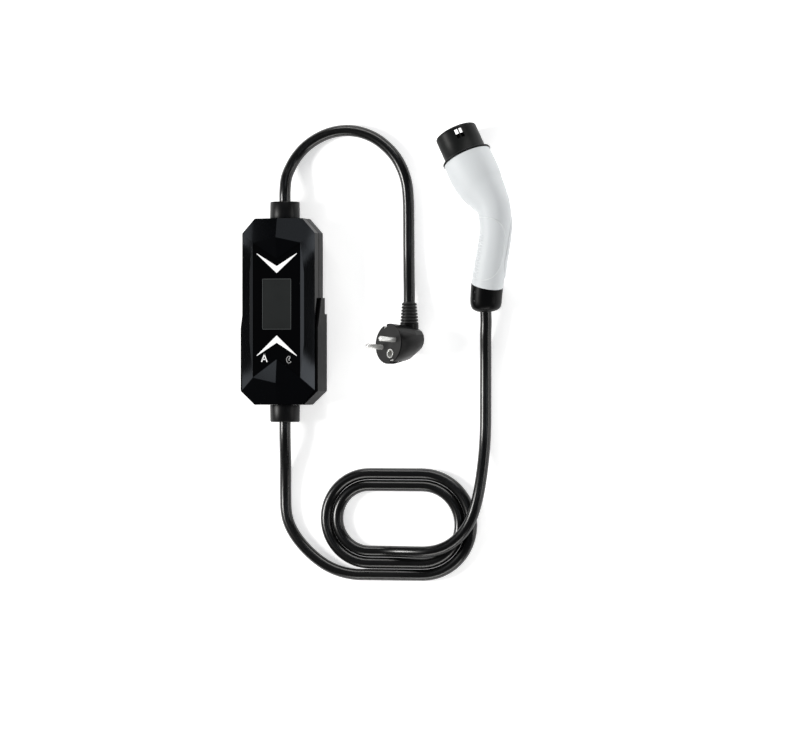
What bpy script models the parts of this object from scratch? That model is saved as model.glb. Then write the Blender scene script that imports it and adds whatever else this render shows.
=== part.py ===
"""Portable charger for an electric car, laid out flat on a surface.

The middle of the control box's flat back is the origin. X runs across the box, Y along it,
and Z out of its front face. The cords lie on the plane of the box's back. Sizes are in metres.
"""

import math

import bmesh
import bpy
from mathutils import Matrix, Vector

# Clearances and walls
GAP = 0.0003
WALL = 0.0025

# Control box: outline, heights and the faceted front
BOX_WIDTH = 0.0844
BOX_LENGTH = 0.208
CORNER_ACROSS = 0.0147
CORNER_ALONG = 0.0165
BACK_CHAMFER = 0.006
BACK_CHAMFER_HEIGHT = 0.012
REAR_COVER_TOP = 0.0284
GASKET_THICKNESS = 0.001
RIM_HEIGHT = 0.045
RIDGE_HEIGHT = 0.0524
PEAK_HEIGHT = 0.0565
PANEL_HALF_WIDTH = 0.0276
BEVEL_STRIP_WIDTH = 0.004
BEVEL_STRIP_DROP = 0.0007
RIM_DROP = 0.0016
PEAK_DROP = 0.0045
UPPER_RIDGE_Y = 0.0767
UPPER_PEAK_Y = 0.0827
UPPER_NOTCH_Y = 0.0589
UPPER_DIAMOND_Y = 0.062
UPPER_STRIP_Y = 0.0435
LOWER_RIDGE_Y = -0.0736
LOWER_PEAK_Y = -0.0795
LOWER_NOTCH_Y = -0.0533
LOWER_DIAMOND_Y = -0.0533
LOWER_STRIP_Y = -0.0347

# Face panel, display and light bars
PANEL_THICKNESS = 0.0022
PANEL_SINK = 0.0006
PANEL_INSET = 0.0004
DISPLAY_WIDTH = 0.0328
DISPLAY_TOP = 0.0362
DISPLAY_BOTTOM = -0.0197
BAR_HALF_WIDTH = 0.0232
BAR_TIP = 0.0008
UPPER_BAR_TIP_Y = 0.0645
UPPER_BAR_INNER_Y = 0.0505
UPPER_BAR_OUTER_Y = 0.0428
LOWER_BAR_TIP_Y = -0.0492
LOWER_BAR_INNER_Y = -0.0348
LOWER_BAR_OUTER_Y = -0.0267

# Side grips on the rear cover
GRIP_THICKNESS = 0.0025
GRIP_BOTTOM_Z = 0.005
GRIP_TOP_Z = 0.0425
GRIP_TIP_Y = 0.0155
GRIP_SHOULDER_Y = -0.019
GRIP_TIP_Z = 0.028
GRIP_STEP_Y = -0.0025
GRIP_TAB_Z = 0.0135

# Case screws and the posts that they hold
SCREW_X = 0.031
SCREW_Y = 0.078
SCREW_HEAD_RADIUS = 0.0029
SCREW_HEAD_HEIGHT = 0.0022
SCREW_RADIUS = 0.0015
SCREW_REACH = 0.036
POST_RADIUS = 0.0042

# Circuit board and what it carries
BOARD_WIDTH = 0.062
BOARD_LENGTH = 0.142
BOARD_THICKNESS = 0.0016
BOARD_Z = 0.0083
STANDOFF_RADIUS = 0.003
STANDOFF_X = 0.026
STANDOFF_Y = 0.060
RELAY_SIZE = (0.018, 0.030, 0.016)
RELAY_X = 0.0125
RELAY_Y = 0.034
SUPPLY_SIZE = (0.044, 0.028, 0.020)
SUPPLY_Y = -0.042
SENSOR_RADIUS = 0.0135
SENSOR_HOLE = 0.0075
SENSOR_HEIGHT = 0.012
SENSOR_Y = -0.006
TERMINAL_SIZE = (0.034, 0.009, 0.011)
TERMINAL_Y = 0.0655
MOULDED_EDGE = 0.0008

# Cords
CORD_RADIUS = 0.0064
CORD_STEP = 0.026

# Cable glands at both ends of the box
GLAND_RADIUS = 0.0168
GLAND_EDGE = 0.001
GLAND_LENGTH = 0.0194
GLAND_Z = 0.019
GLAND_NECK_RADIUS = 0.008
GLAND_NUT_RADIUS = 0.0104
GLAND_NUT_SETBACK = 0.0013
GLAND_NUT_LENGTH = 0.004

# Coil in the lower cord: half turns about two centres, each tighter than the one before
COIL_PITCH = 2 * CORD_RADIUS + 0.0003
COIL_LEFT_X = 0.0944
COIL_RIGHT_X = 0.156
COIL_FRONT_Y = -0.2939
COIL_OUTER_RADIUS = 0.0564
COIL_EXIT_X = 0.098

# Handset: the middle of its end cap's face, how it lies, and its side view along the spine
HANDSET_X = 0.2309
HANDSET_Y = 0.0004
HANDSET_Z = 0.01565
HANDSET_TURN = math.radians(-0.5)
HANDSET_TILT = math.radians(8.05)
HANDSET_ROLL = math.radians(-30)
SEAM_TURN = math.radians(-45)
SHELL_WALL = 0.0026
CAP_WALL = 0.003
CAP_CAVITY_START = 0.012
CAP_TOP_Y = 0.0286
CAP_LEAN = math.radians(-13)
CAP_SCREW_TURN = math.radians(-10)
CAP_SCREWS = ((0.0009, 0.0120), (0.0024, 0.0222))
CAP_SCREW_RADIUS = 0.0018
CAP_SCREW_LOW = 0.0159
CAP_SCREW_HIGH = 0.0172

# Each station: X and Y of the spine, half the width and half the depth
GRIP_STATIONS = (
    (0.0034, 0.0291, 0.0180, 0.0176),
    (0.0067, 0.0397, 0.0176, 0.0172),
    (0.0106, 0.0553, 0.0173, 0.0170),
    (0.0142, 0.0683, 0.0171, 0.0169),
    (0.0176, 0.0825, 0.0171, 0.0170),
    (0.0191, 0.0938, 0.0173, 0.0172),
    (0.0183, 0.1061, 0.0179, 0.0178),
    (0.0154, 0.1172, 0.0193, 0.0189),
    (0.0076, 0.1281, 0.0226, 0.0217),
    (-0.0027, 0.1393, 0.0262, 0.0252),
    (-0.0130, 0.1535, 0.0278, 0.0272),
    (-0.0225, 0.1688, 0.0273, 0.0271),
)
CAP_STATIONS = (
    (0.0, 0.0, 0.0108, 0.0108),
    (0.0, 0.0014, 0.0138, 0.0136),
    (0.0001, 0.0042, 0.0163, 0.0160),
    (0.0005, 0.0085, 0.0176, 0.0171),
    (0.0014, 0.0165, 0.0179, 0.0175),
    (0.0033, CAP_TOP_Y, 0.0181, 0.0177),
)

# Connector head at the end of the handset's spine
HEAD_LEAN = math.radians(31.2)
FLANGE_RADIUS = 0.0281
FLANGE_THICKNESS = 0.0026
HEAD_RADIUS = 0.0238
HEAD_LENGTH = 0.0325
HEAD_WALL = 0.0029
HEAD_FLOOR = 0.006
SPIGOT_RADIUS = 0.0238
SPIGOT_LENGTH = 0.007
CARRIER_RADIUS = 0.0168
CARRIER_FACE = 0.0250
POWER_CONTACT_RADIUS = 0.0040
SIGNAL_CONTACT_RADIUS = 0.0024
CONTACT_DEPTH = 0.014
WINDOW_WIDTH = 0.0040
WINDOW_SPACING = 0.0051
WINDOW_NEAR_RIM = 0.0035
WINDOW_LENGTH = 0.0115
WINDOW_TURN = math.radians(51)
SHROUD_EDGE = 0.0012
FLANGE_EDGE = 0.0007
CONTACT_TURN = math.radians(90)
CONTACT_BORE_SHARE = 0.6
CONTACT_SINK = 0.001

# Contacts in the carrier: name, across, up, radius; the last two holes are left empty
CONTACTS = (
    ("contact_earth", 0.0, 0.0, POWER_CONTACT_RADIUS),
    ("contact_line", 0.0100, 0.0, POWER_CONTACT_RADIUS),
    ("contact_neutral", -0.0100, 0.0, POWER_CONTACT_RADIUS),
    ("contact_pilot", 0.0055, 0.0090, SIGNAL_CONTACT_RADIUS),
    ("contact_proximity", -0.0055, 0.0090, SIGNAL_CONTACT_RADIUS),
)
EMPTY_CONTACTS = ((0.0060, -0.0098), (-0.0060, -0.0098))

# Mains plug: the middle of its face, how it leans and its sizes
PLUG_FACE = Vector((0.1262, -0.0360, 0.0427))
PLUG_TURN = math.radians(6)
PLUG_LEAN = math.radians(-34)
PLUG_YAW = math.radians(7.6)
PIN_TURN = math.radians(16)
PLUG_RADIUS = 0.0225
PLUG_EDGE = 0.0008
PLUG_RIM = 0.007
PLUG_WAIST_RADIUS = 0.0195
PLUG_WAIST_DEPTH = 0.026
PLUG_WAIST_SHIFT = 0.0025
PLUG_DEPTH = 0.042
PLUG_BACK_RADIUS = 0.0128
PLUG_BACK_SHIFT = 0.007
PLUG_CORD_DEPTH = 0.031
PIN_RADIUS = 0.0028
PIN_ROOT = 0.012
PIN_TIP = 0.0017
PIN_LENGTH = 0.0222
PIN_SPACING = 0.0224
EARTH_HOLE_OFFSET = 0.0118
EARTH_SLEEVE_RADIUS = 0.0052
EARTH_SLEEVE_WALL = 0.0013
EARTH_SLEEVE_DEPTH = 0.016
STRIP_WIDTH = 0.0050
STRIP_THICKNESS = 0.0012
STRIP_LENGTH = 0.013
NOTCH_WIDTH = 0.0062
NOTCH_DEPTH = 0.0040
NECK_RADIUS = 0.0104
NECK_END = 0.0235
RELIEF_LENGTH = 0.025
RELIEF_END_RADIUS = 0.0082
RELIEF_RIBS = 6
RIB_DEPTH = 0.0010

# Routes of the free cords, chosen by hand
UPPER_ROUTE = (
    (0.0000, 0.1360, 0.0189), (0.0006, 0.1500, 0.0158),
    (0.0040, 0.1620, 0.0113), (0.0105, 0.1740, 0.0084), (0.0205, 0.1852, 0.0070),
    (0.0340, 0.1944, 0.0065), (0.0500, 0.2007, 0.0065), (0.0673, 0.2030, 0.0065),
    (0.0845, 0.2008, 0.0065), (0.1005, 0.1944, 0.0065), (0.1145, 0.1842, 0.0065),
    (0.1255, 0.1720, 0.0065), (0.1332, 0.1580, 0.0065), (0.1378, 0.1430, 0.0065),
    (0.1396, 0.1260, 0.0065), (0.1401, 0.1050, 0.0065), (0.1402, 0.0820, 0.0065),
    (0.1404, 0.0600, 0.0066), (0.1411, 0.0380, 0.0085),
)
LOWER_ROUTE = (
    (0.0000, -0.1360, 0.0189), (-0.0006, -0.1540, 0.0158),
    (-0.0016, -0.1720, 0.0110), (-0.0026, -0.1900, 0.0078), (-0.0029, -0.2080, 0.0065),
    (-0.0024, -0.2220, 0.0065), (0.0000, -0.2340, 0.0065), (0.0050, -0.2452, 0.0065),
    (0.0124, -0.2560, 0.0065), (0.0224, -0.2670, 0.0065), (0.0338, -0.2767, 0.0065),
    (0.0465, -0.2848, 0.0065), (0.0612, -0.2906, 0.0065), (0.0780, -0.2937, 0.0065),
)
RETURN_ROUTE = (
    (0.1120, 0.0000, 0.0066), (0.1260, 0.0000, 0.0092), (0.1400, 0.0000, 0.0134),
    (0.1530, 0.0000, 0.0170), (0.1650, 0.0004, 0.0193), (0.1770, 0.0026, 0.0198),
    (0.1890, 0.0076, 0.0198), (0.2000, 0.0157, 0.0198), (0.2092, 0.0264, 0.0198),
    (0.2160, 0.0390, 0.0198), (0.2208, 0.0535, 0.0198), (0.2242, 0.0690, 0.0188),
    (0.2262, 0.0860, 0.0158), (0.2274, 0.1040, 0.0116), (0.2281, 0.1230, 0.0080),
    (0.2284, 0.1430, 0.0065), (0.2285, 0.1700, 0.0065), (0.2286, 0.1960, 0.0066),
    (0.2291, 0.2200, 0.0086), (0.2300, 0.2420, 0.0124),
)

ROUND_STEPS = 32
SMALL_STEPS = 16

part = bpy.data.collections.new("portable_ev_charger")
cutters = bpy.data.collections.new("cutters")


# Materials

def plastic(name, colour, roughness, metallic=0.0):
    """A Principled material of one colour."""
    material = bpy.data.materials.new(name)
    material.use_nodes = True
    shader = material.node_tree.nodes["Principled BSDF"]
    shader.inputs["Base Color"].default_value = (*colour, 1.0)
    shader.inputs["Roughness"].default_value = roughness
    shader.inputs["Metallic"].default_value = metallic
    return material


def make_materials():
    """Every sub-part's own finish, by name."""
    return {
        "case": plastic("case_black", (0.018, 0.019, 0.022), 0.32),
        "grip": plastic("grip_black", (0.03, 0.03, 0.032), 0.5),
        "panel": plastic("panel_gloss", (0.004, 0.004, 0.005), 0.08),
        "display": plastic("display_grey", (0.035, 0.037, 0.037), 0.25),
        "light": plastic("light_white", (0.95, 0.95, 0.95), 0.3),
        "rubber": plastic("rubber_black", (0.012, 0.012, 0.012), 0.55),
        "gland": plastic("gland_black", (0.022, 0.022, 0.023), 0.4),
        "cord": plastic("cord_black", (0.010, 0.010, 0.010), 0.3),
        "board": plastic("board_green", (0.02, 0.12, 0.05), 0.45),
        "relay": plastic("relay_blue", (0.03, 0.08, 0.25), 0.35),
        "steel": plastic("steel", (0.6, 0.6, 0.6), 0.3, 1.0),
        "brass": plastic("brass", (0.75, 0.6, 0.3), 0.3, 1.0),
        "shell": plastic("shell_white", (0.86, 0.87, 0.88), 0.35),
        "head": plastic("head_black", (0.02, 0.02, 0.02), 0.42),
        "carrier": plastic("carrier_grey", (0.05, 0.05, 0.055), 0.5),
        "plug": plastic("plug_black", (0.02, 0.02, 0.02), 0.42),
    }


# Tools

def shade(thing):
    """Smooth faces with crisp edges."""
    thing.data.shade_smooth()
    thing.data.set_sharp_from_angle(angle=math.radians(32))


def add_object(name, shape, material=None, collection=None):
    """An object in the part's collection from a bmesh, which is freed."""
    bmesh.ops.recalc_face_normals(shape, faces=shape.faces)
    mesh = bpy.data.meshes.new(name)
    shape.to_mesh(mesh)
    shape.free()
    thing = bpy.data.objects.new(name, mesh)
    (collection or part).objects.link(thing)
    if material:
        mesh.materials.append(material)
    return thing


def add_rings(shape, rings, capped=True):
    """Skins closed rings of equally many points, and closes both ends."""
    rows = [[shape.verts.new(point) for point in ring] for ring in rings]
    for first, second in zip(rows, rows[1:]):
        for here in range(len(first)):
            after = (here + 1) % len(first)
            shape.faces.new((first[here], first[after], second[after], second[here]))
    if capped:
        shape.faces.new(rows[0])
        shape.faces.new(rows[-1])


def rings_object(name, rings, material=None, collection=None):
    """A closed solid through rings of points."""
    shape = bmesh.new()
    add_rings(shape, rings)
    return add_object(name, shape, material, collection)


def prism(name, outline, low, high, material=None, collection=None):
    """An outline in X and Y, raised from low to high."""
    rings = [[(x, y, z) for x, y in outline] for z in (low, high)]
    return rings_object(name, rings, material, collection)


def block(name, size, middle, material=None, collection=None, edge=0.0):
    """A box, with its edges bevelled where edge is given."""
    shape = bmesh.new()
    bmesh.ops.create_cube(shape, size=1.0)
    bmesh.ops.scale(shape, vec=size, verts=shape.verts)
    bmesh.ops.translate(shape, vec=middle, verts=shape.verts)
    if edge:
        bmesh.ops.bevel(shape, geom=shape.edges[:], offset=edge, segments=1, affect="EDGES")
    return add_object(name, shape, material, collection)


def turned(name, profile, material=None, collection=None, steps=ROUND_STEPS, ring=False):
    """A turned shape about Z. The profile holds radius and height, outer side from top to bottom."""
    mesh = bpy.data.meshes.new(name)
    points = [(radius, 0.0, height) for radius, height in profile]
    edges = [(at, at + 1) for at in range(len(points) - 1)]
    if ring:
        edges.append((len(points) - 1, 0))
    mesh.from_pydata(points, edges, [])
    thing = bpy.data.objects.new(name, mesh)
    (collection or part).objects.link(thing)
    if material:
        mesh.materials.append(material)
    screw = thing.modifiers.new("turn", "SCREW")
    screw.steps = steps
    screw.render_steps = steps
    screw.use_merge_vertices = True
    screw.merge_threshold = 0.00001
    screw.use_smooth_shade = True
    return thing


def hide_cutter(cutter):
    """Keeps a cutter out of the model."""
    cutter.hide_render = True
    cutter.display_type = "WIRE"
    if cutter.name not in cutters.objects:
        for collection in cutter.users_collection:
            collection.objects.unlink(cutter)
        cutters.objects.link(cutter)


def combine(thing, other, operation):
    """A Boolean with another object, which becomes a hidden helper."""
    boolean = thing.modifiers.new(operation.lower(), "BOOLEAN")
    boolean.operation = operation
    boolean.solver = "EXACT"
    boolean.object = other
    hide_cutter(other)


def cut(thing, *others):
    for other in others:
        combine(thing, other, "DIFFERENCE")


def join(thing, *others):
    for other in others:
        combine(thing, other, "UNION")


def place(thing, matrix):
    """Puts an object and its own turn in a frame."""
    thing.matrix_world = matrix @ thing.matrix_world


def smooth_path(points, step):
    """Evenly spaced points on a smooth curve through the given ones."""
    knots = [Vector(point) for point in points]
    knots.insert(0, 2 * knots[0] - knots[1])
    knots.append(2 * knots[-1] - knots[-2])
    fine = []
    pieces = 16
    for before, start, end, after in zip(knots, knots[1:], knots[2:], knots[3:]):
        span = (end - start).length
        leave = (end - before) * span / ((start - before).length + span)
        arrive = (after - start) * span / ((after - end).length + span)
        for piece in range(pieces):
            t = piece / pieces
            fine.append(
                start * (2 * t**3 - 3 * t**2 + 1) + leave * (t**3 - 2 * t**2 + t)
                + end * (3 * t**2 - 2 * t**3) + arrive * (t**3 - t**2)
            )
    fine.append(knots[-2])
    lengths = [0.0]
    for first, second in zip(fine, fine[1:]):
        lengths.append(lengths[-1] + (second - first).length)
    count = max(2, round(lengths[-1] / step))
    path = []
    at = 0
    for index in range(count + 1):
        along = lengths[-1] * index / count
        while at < len(lengths) - 2 and lengths[at + 1] < along:
            at += 1
        share = (along - lengths[at]) / (lengths[at + 1] - lengths[at])
        path.append(fine[at].lerp(fine[at + 1], share))
    leave = CORD_RADIUS / 3 * (fine[1] - fine[0]).normalized()
    arrive = CORD_RADIUS / 3 * (fine[-1] - fine[-2]).normalized()
    return [path[0], path[0] + leave] + path[1:-1] + [path[-1] - arrive, path[-1]]


def cord_tube(name, points, material):
    """A cord as a curve object with filled ends."""
    curve = bpy.data.curves.new(name, "CURVE")
    curve.dimensions = "3D"
    curve.bevel_depth = CORD_RADIUS
    curve.bevel_resolution = 2
    curve.use_fill_caps = True
    spline = curve.splines.new("POLY")
    path = smooth_path(points, CORD_STEP)
    spline.points.add(len(path) - 1)
    for knot, point in zip(spline.points, path):
        knot.co = (*point, 1.0)
    spline.use_smooth = True
    curve.materials.append(material)
    thing = bpy.data.objects.new(name, curve)
    part.objects.link(thing)
    return thing


# Control box

def box_outline(inset=0.0):
    """The octagon of the control box, moved inwards by inset on every side."""
    across = BOX_WIDTH / 2
    along = BOX_LENGTH / 2
    slant = math.hypot(CORNER_ACROSS, CORNER_ALONG)
    trim_along = inset * (slant - CORNER_ALONG) / CORNER_ACROSS
    trim_across = inset * (slant - CORNER_ACROSS) / CORNER_ALONG
    side_y = along - CORNER_ALONG - trim_across
    end_x = across - CORNER_ACROSS - trim_along
    side_x = across - inset
    end_y = along - inset
    quarter = [(side_x, side_y), (end_x, end_y)]
    left = [(-x, y) for x, y in reversed(quarter)]
    return quarter + left + [(-x, -y) for x, y in quarter + left]


def box_ring(inset, height):
    return [(x, y, height) for x, y in box_outline(inset)]


def on_plane(first, second, third, x, y):
    """The height at X and Y on the plane through three points."""
    normal = (second - first).cross(third - first)
    return first.z - (normal.x * (x - first.x) + normal.y * (y - first.y)) / normal.z


def front_end(shape, sign, heights, inset, ridge_y, peak_y, notch_y, diamond_y, strip_y):
    """The facets at one end of the right half of the front, with the points that the middle needs."""
    base, rim, ridge_z, peak_z = heights
    (side, corner_y), (shoulder_x, end_y) = box_outline(inset)[:2]
    ridge = Vector((PANEL_HALF_WIDTH, ridge_y, ridge_z))
    peak = Vector((0.0, peak_y, peak_z))
    shoulder = Vector((shoulder_x, sign * end_y, rim))
    places = {
        "top": (0.0, sign * end_y, on_plane(shoulder, ridge, peak, 0.0, sign * end_y)),
        "shoulder": shoulder,
        "corner": (side, sign * corner_y, rim),
        "diamond": (side, diamond_y, rim),
        "ridge": ridge,
        "peak": peak,
        "notch": (0.0, notch_y, ridge_z),
        "strip": (PANEL_HALF_WIDTH + BEVEL_STRIP_WIDTH, strip_y, ridge_z - BEVEL_STRIP_DROP),
    }
    spots = {name: shape.verts.new(spot) for name, spot in places.items()}
    facets = (
        ("top", "shoulder", "ridge", "peak"), ("shoulder", "corner", "ridge"),
        ("corner", "diamond", "ridge"), ("diamond", "strip", "ridge"), ("peak", "ridge", "notch"),
    )
    for facet in facets:
        shape.faces.new([spots[name] for name in facet])
    for name in ("top", "shoulder", "corner", "diamond"):
        x, y, _ = spots[name].co
        spots[name + "_base"] = shape.verts.new((x, y, base))
    for first, second in (("top", "shoulder"), ("shoulder", "corner"), ("corner", "diamond")):
        shape.faces.new([spots[first], spots[second], spots[second + "_base"], spots[first + "_base"]])
    return spots


def front_solid(name, heights, inset=0.0, material=None):
    """The faceted front as a solid: its right half is built, and a Mirror makes the left one."""
    shape = bmesh.new()
    upper = front_end(shape, 1, heights, inset, UPPER_RIDGE_Y, UPPER_PEAK_Y, UPPER_NOTCH_Y,
                      UPPER_DIAMOND_Y, UPPER_STRIP_Y)
    lower = front_end(shape, -1, heights, inset, LOWER_RIDGE_Y, LOWER_PEAK_Y, LOWER_NOTCH_Y,
                      LOWER_DIAMOND_Y, LOWER_STRIP_Y)
    for first, second in (("notch", "ridge"), ("ridge", "strip"), ("strip", "diamond")):
        shape.faces.new([upper[first], upper[second], lower[second], lower[first]])
    shape.faces.new([upper["diamond"], upper["diamond_base"], lower["diamond_base"], lower["diamond"]])
    names = ("top_base", "shoulder_base", "corner_base", "diamond_base")
    shape.faces.new([upper[name] for name in names] + [lower[name] for name in reversed(names)])
    solid = add_object(name, shape, material)
    mirror = solid.modifiers.new("other_half", "MIRROR")
    mirror.merge_threshold = 0.00001
    return solid


def panel_outline(inset=0.0):
    """The face panel: straight sides and a V-shaped notch at each end."""
    side = PANEL_HALF_WIDTH - inset
    outline = []
    for ridge_y, notch_y, sign in ((UPPER_RIDGE_Y, UPPER_NOTCH_Y, 1), (LOWER_RIDGE_Y, LOWER_NOTCH_Y, -1)):
        slope = (ridge_y - notch_y) / PANEL_HALF_WIDTH
        drop = sign * inset * math.hypot(1.0, slope)
        middle = (0.0, notch_y - drop)
        corners = [(side, notch_y - drop + slope * side), (-side, notch_y - drop + slope * side)]
        outline += [corners[0], middle, corners[1]] if sign > 0 else [corners[1], middle, corners[0]]
    return outline


def case_screw_places():
    return [(x, y) for x in (SCREW_X, -SCREW_X) for y in (SCREW_Y, -SCREW_Y)]


def turned_at(name, profile, x, y, material=None, steps=SMALL_STEPS):
    """A small turned piece standing at X and Y."""
    thing = turned(name, profile, material, steps=steps)
    thing.location = (x, y, 0.0)
    return thing


def rod(radius, low, high):
    """The profile of a plain rod."""
    return [(0.0, high), (radius, high), (radius, low), (0.0, low)]


def make_front_cover(looks):
    """The faceted cover, hollow from behind, with the panel's pocket and four screw posts."""
    heights = (FRONT_BASE, RIM_HEIGHT, RIDGE_HEIGHT, PEAK_HEIGHT)
    cover = front_solid("front_cover", heights, material=looks["case"])
    floor = RIDGE_HEIGHT - PANEL_SINK - PANEL_THICKNESS - GAP
    heights = (FRONT_BASE - WALL, RIM_HEIGHT - RIM_DROP, floor - WALL, PEAK_HEIGHT - PEAK_DROP)
    hollow = front_solid("front_hollow", heights, WALL)
    pocket = prism("panel_pocket", panel_outline(PANEL_INSET), floor, PEAK_HEIGHT + WALL)
    cut(cover, hollow, pocket)
    for number, (x, y) in enumerate(case_screw_places(), 1):
        post = turned_at(f"front_post_{number}", rod(POST_RADIUS, FRONT_BASE, RIM_HEIGHT + WALL), x, y)
        join(cover, post)
        hole = rod(SCREW_RADIUS + GAP, FRONT_BASE - WALL, SCREW_REACH + 2 * GAP)
        cut(cover, turned_at(f"front_post_hole_{number}", hole, x, y))


def make_rear_cover(looks):
    """The back tray with its chamfered back, screw posts, board standoffs and gland holes."""
    outer = [box_ring(BACK_CHAMFER, 0.0), box_ring(0.0, BACK_CHAMFER_HEIGHT), box_ring(0.0, REAR_COVER_TOP)]
    cover = rings_object("rear_cover", outer, looks["case"])
    inner = [
        box_ring(BACK_CHAMFER + WALL / 2, WALL), box_ring(WALL, BACK_CHAMFER_HEIGHT),
        box_ring(WALL, REAR_COVER_TOP + WALL),
    ]
    cut(cover, rings_object("rear_hollow", inner))
    for number, (x, y) in enumerate(case_screw_places(), 1):
        join(cover, turned_at(f"rear_post_{number}", rod(POST_RADIUS, WALL / 2, REAR_COVER_TOP), x, y))
        hole = [
            (0.0, REAR_COVER_TOP + WALL), (SCREW_RADIUS + GAP, REAR_COVER_TOP + WALL),
            (SCREW_RADIUS + GAP, SCREW_SEAT), (SCREW_HEAD_RADIUS + GAP, SCREW_SEAT),
            (SCREW_HEAD_RADIUS + GAP, -WALL), (0.0, -WALL),
        ]
        cut(cover, turned_at(f"rear_post_hole_{number}", hole, x, y))
    standoffs = [(x, y) for x in (STANDOFF_X, -STANDOFF_X) for y in (STANDOFF_Y, -STANDOFF_Y)]
    for number, (x, y) in enumerate(standoffs, 1):
        join(cover, turned_at(f"standoff_{number}", rod(STANDOFF_RADIUS, WALL / 2, BOARD_Z - GAP), x, y))
    for end, turn in (("upper", -90), ("lower", 90)):
        bore = turned(f"{end}_gland_hole", rod(GLAND_NECK_RADIUS + GAP, BOX_LENGTH / 2 - 3 * WALL,
                                               BOX_LENGTH / 2 + WALL), steps=ROUND_STEPS)
        bore.rotation_euler = (math.radians(turn), 0.0, 0.0)
        bore.location = (0.0, 0.0, GLAND_Z)
        cut(cover, bore)


def make_case_screws(looks):
    """Four pan-head screws that hold the covers together from behind."""
    for number, (x, y) in enumerate(case_screw_places(), 1):
        profile = [
            (0.0, SCREW_REACH), (SCREW_RADIUS, SCREW_REACH), (SCREW_RADIUS, SCREW_SEAT - GAP),
            (SCREW_HEAD_RADIUS, SCREW_SEAT - GAP), (SCREW_HEAD_RADIUS, SCREW_SEAT - SCREW_HEAD_HEIGHT),
            (0.0, SCREW_SEAT - SCREW_HEAD_HEIGHT),
        ]
        turned_at(f"case_screw_{number}", profile, x, y, looks["steel"])


def make_gasket(looks):
    """The seal between the covers."""
    low = REAR_COVER_TOP + GAP
    seal = prism("case_gasket", box_outline(GAP), low, low + GASKET_THICKNESS, looks["rubber"])
    cut(seal, prism("gasket_hole", box_outline(WALL), low - WALL, low + WALL + GASKET_THICKNESS))


def bar_outline(tip_y, inner_y, outer_y, grow=0.0):
    """A chevron that tapers to its tips, grown by a clearance."""
    half = BAR_HALF_WIDTH + grow
    sign = 1 if inner_y > outer_y else -1
    return [
        (half, tip_y + sign * (BAR_TIP / 2 + grow)), (0.0, inner_y + sign * 1.4 * grow),
        (-half, tip_y + sign * (BAR_TIP / 2 + grow)), (-half, tip_y - sign * (BAR_TIP / 2 + grow)),
        (0.0, outer_y - sign * 1.4 * grow), (half, tip_y - sign * (BAR_TIP / 2 + grow)),
    ]


def display_outline(grow=0.0):
    half = DISPLAY_WIDTH / 2 + grow
    top = DISPLAY_TOP + grow
    bottom = DISPLAY_BOTTOM - grow
    return [(half, bottom), (half, top), (-half, top), (-half, bottom)]


def make_face(looks):
    """The glossy panel with the display and two light bars set into it."""
    high = RIDGE_HEIGHT - PANEL_SINK
    low = high - PANEL_THICKNESS
    panel = prism("face_panel", panel_outline(PANEL_INSET + GAP), low, high, looks["panel"])
    bars = (
        ("upper_light_bar", UPPER_BAR_TIP_Y, UPPER_BAR_INNER_Y, UPPER_BAR_OUTER_Y),
        ("lower_light_bar", LOWER_BAR_TIP_Y, LOWER_BAR_INNER_Y, LOWER_BAR_OUTER_Y),
    )
    for name, *heights in bars:
        prism(name, bar_outline(*heights), low, high, looks["light"])
        cut(panel, prism(name + "_slot", bar_outline(*heights, grow=GAP), low - WALL, high + WALL))
    prism("display_screen", display_outline(), low, high - GAP, looks["display"])
    cut(panel, prism("display_window", display_outline(GAP), low - WALL, high + WALL))


def grip_wall(grow):
    """The outline of a side grip seen from the front: along the side and round the lower corner."""
    side = BOX_WIDTH / 2
    end = BOX_LENGTH / 2
    corner = (side + grow, CORNER_ALONG - end - grow * 0.4)
    foot = (side - CORNER_ACROSS + grow * 0.4, -end - grow * 0.05)
    return [(side + grow, GRIP_TIP_Y), corner, foot]


def make_side_grips(looks):
    """Raised grips along the lower sides, with a slanted upper front edge."""
    for name, sign in (("right", 1), ("left", -1)):
        outline = grip_wall(GAP + GRIP_THICKNESS) + list(reversed(grip_wall(GAP)))
        outline = [(sign * x, y) for x, y in outline]
        grip = prism(f"side_grip_{name}", outline, GRIP_BOTTOM_Z, GRIP_TOP_Z, looks["grip"])
        reach = BOX_WIDTH
        wedge = [
            [(sign * x, y, z) for y, z in (
                (GRIP_SHOULDER_Y, GRIP_TOP_Z), (GRIP_TIP_Y, GRIP_TIP_Z), (GRIP_TIP_Y + WALL, GRIP_TIP_Z),
                (GRIP_TIP_Y + WALL, GRIP_TOP_Z + WALL), (GRIP_SHOULDER_Y, GRIP_TOP_Z + WALL))]
            for x in (0.0, reach)
        ]
        cut(grip, rings_object(f"grip_slant_{name}", wedge))
        tab = (BOX_WIDTH, GRIP_TIP_Y - GRIP_STEP_Y + WALL, 2 * (GRIP_TAB_Z - GRIP_BOTTOM_Z))
        middle = (sign * BOX_WIDTH / 2, (GRIP_TIP_Y + GRIP_STEP_Y + WALL) / 2, GRIP_BOTTOM_Z)
        cut(grip, block(f"grip_step_{name}", tab, middle))


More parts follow.
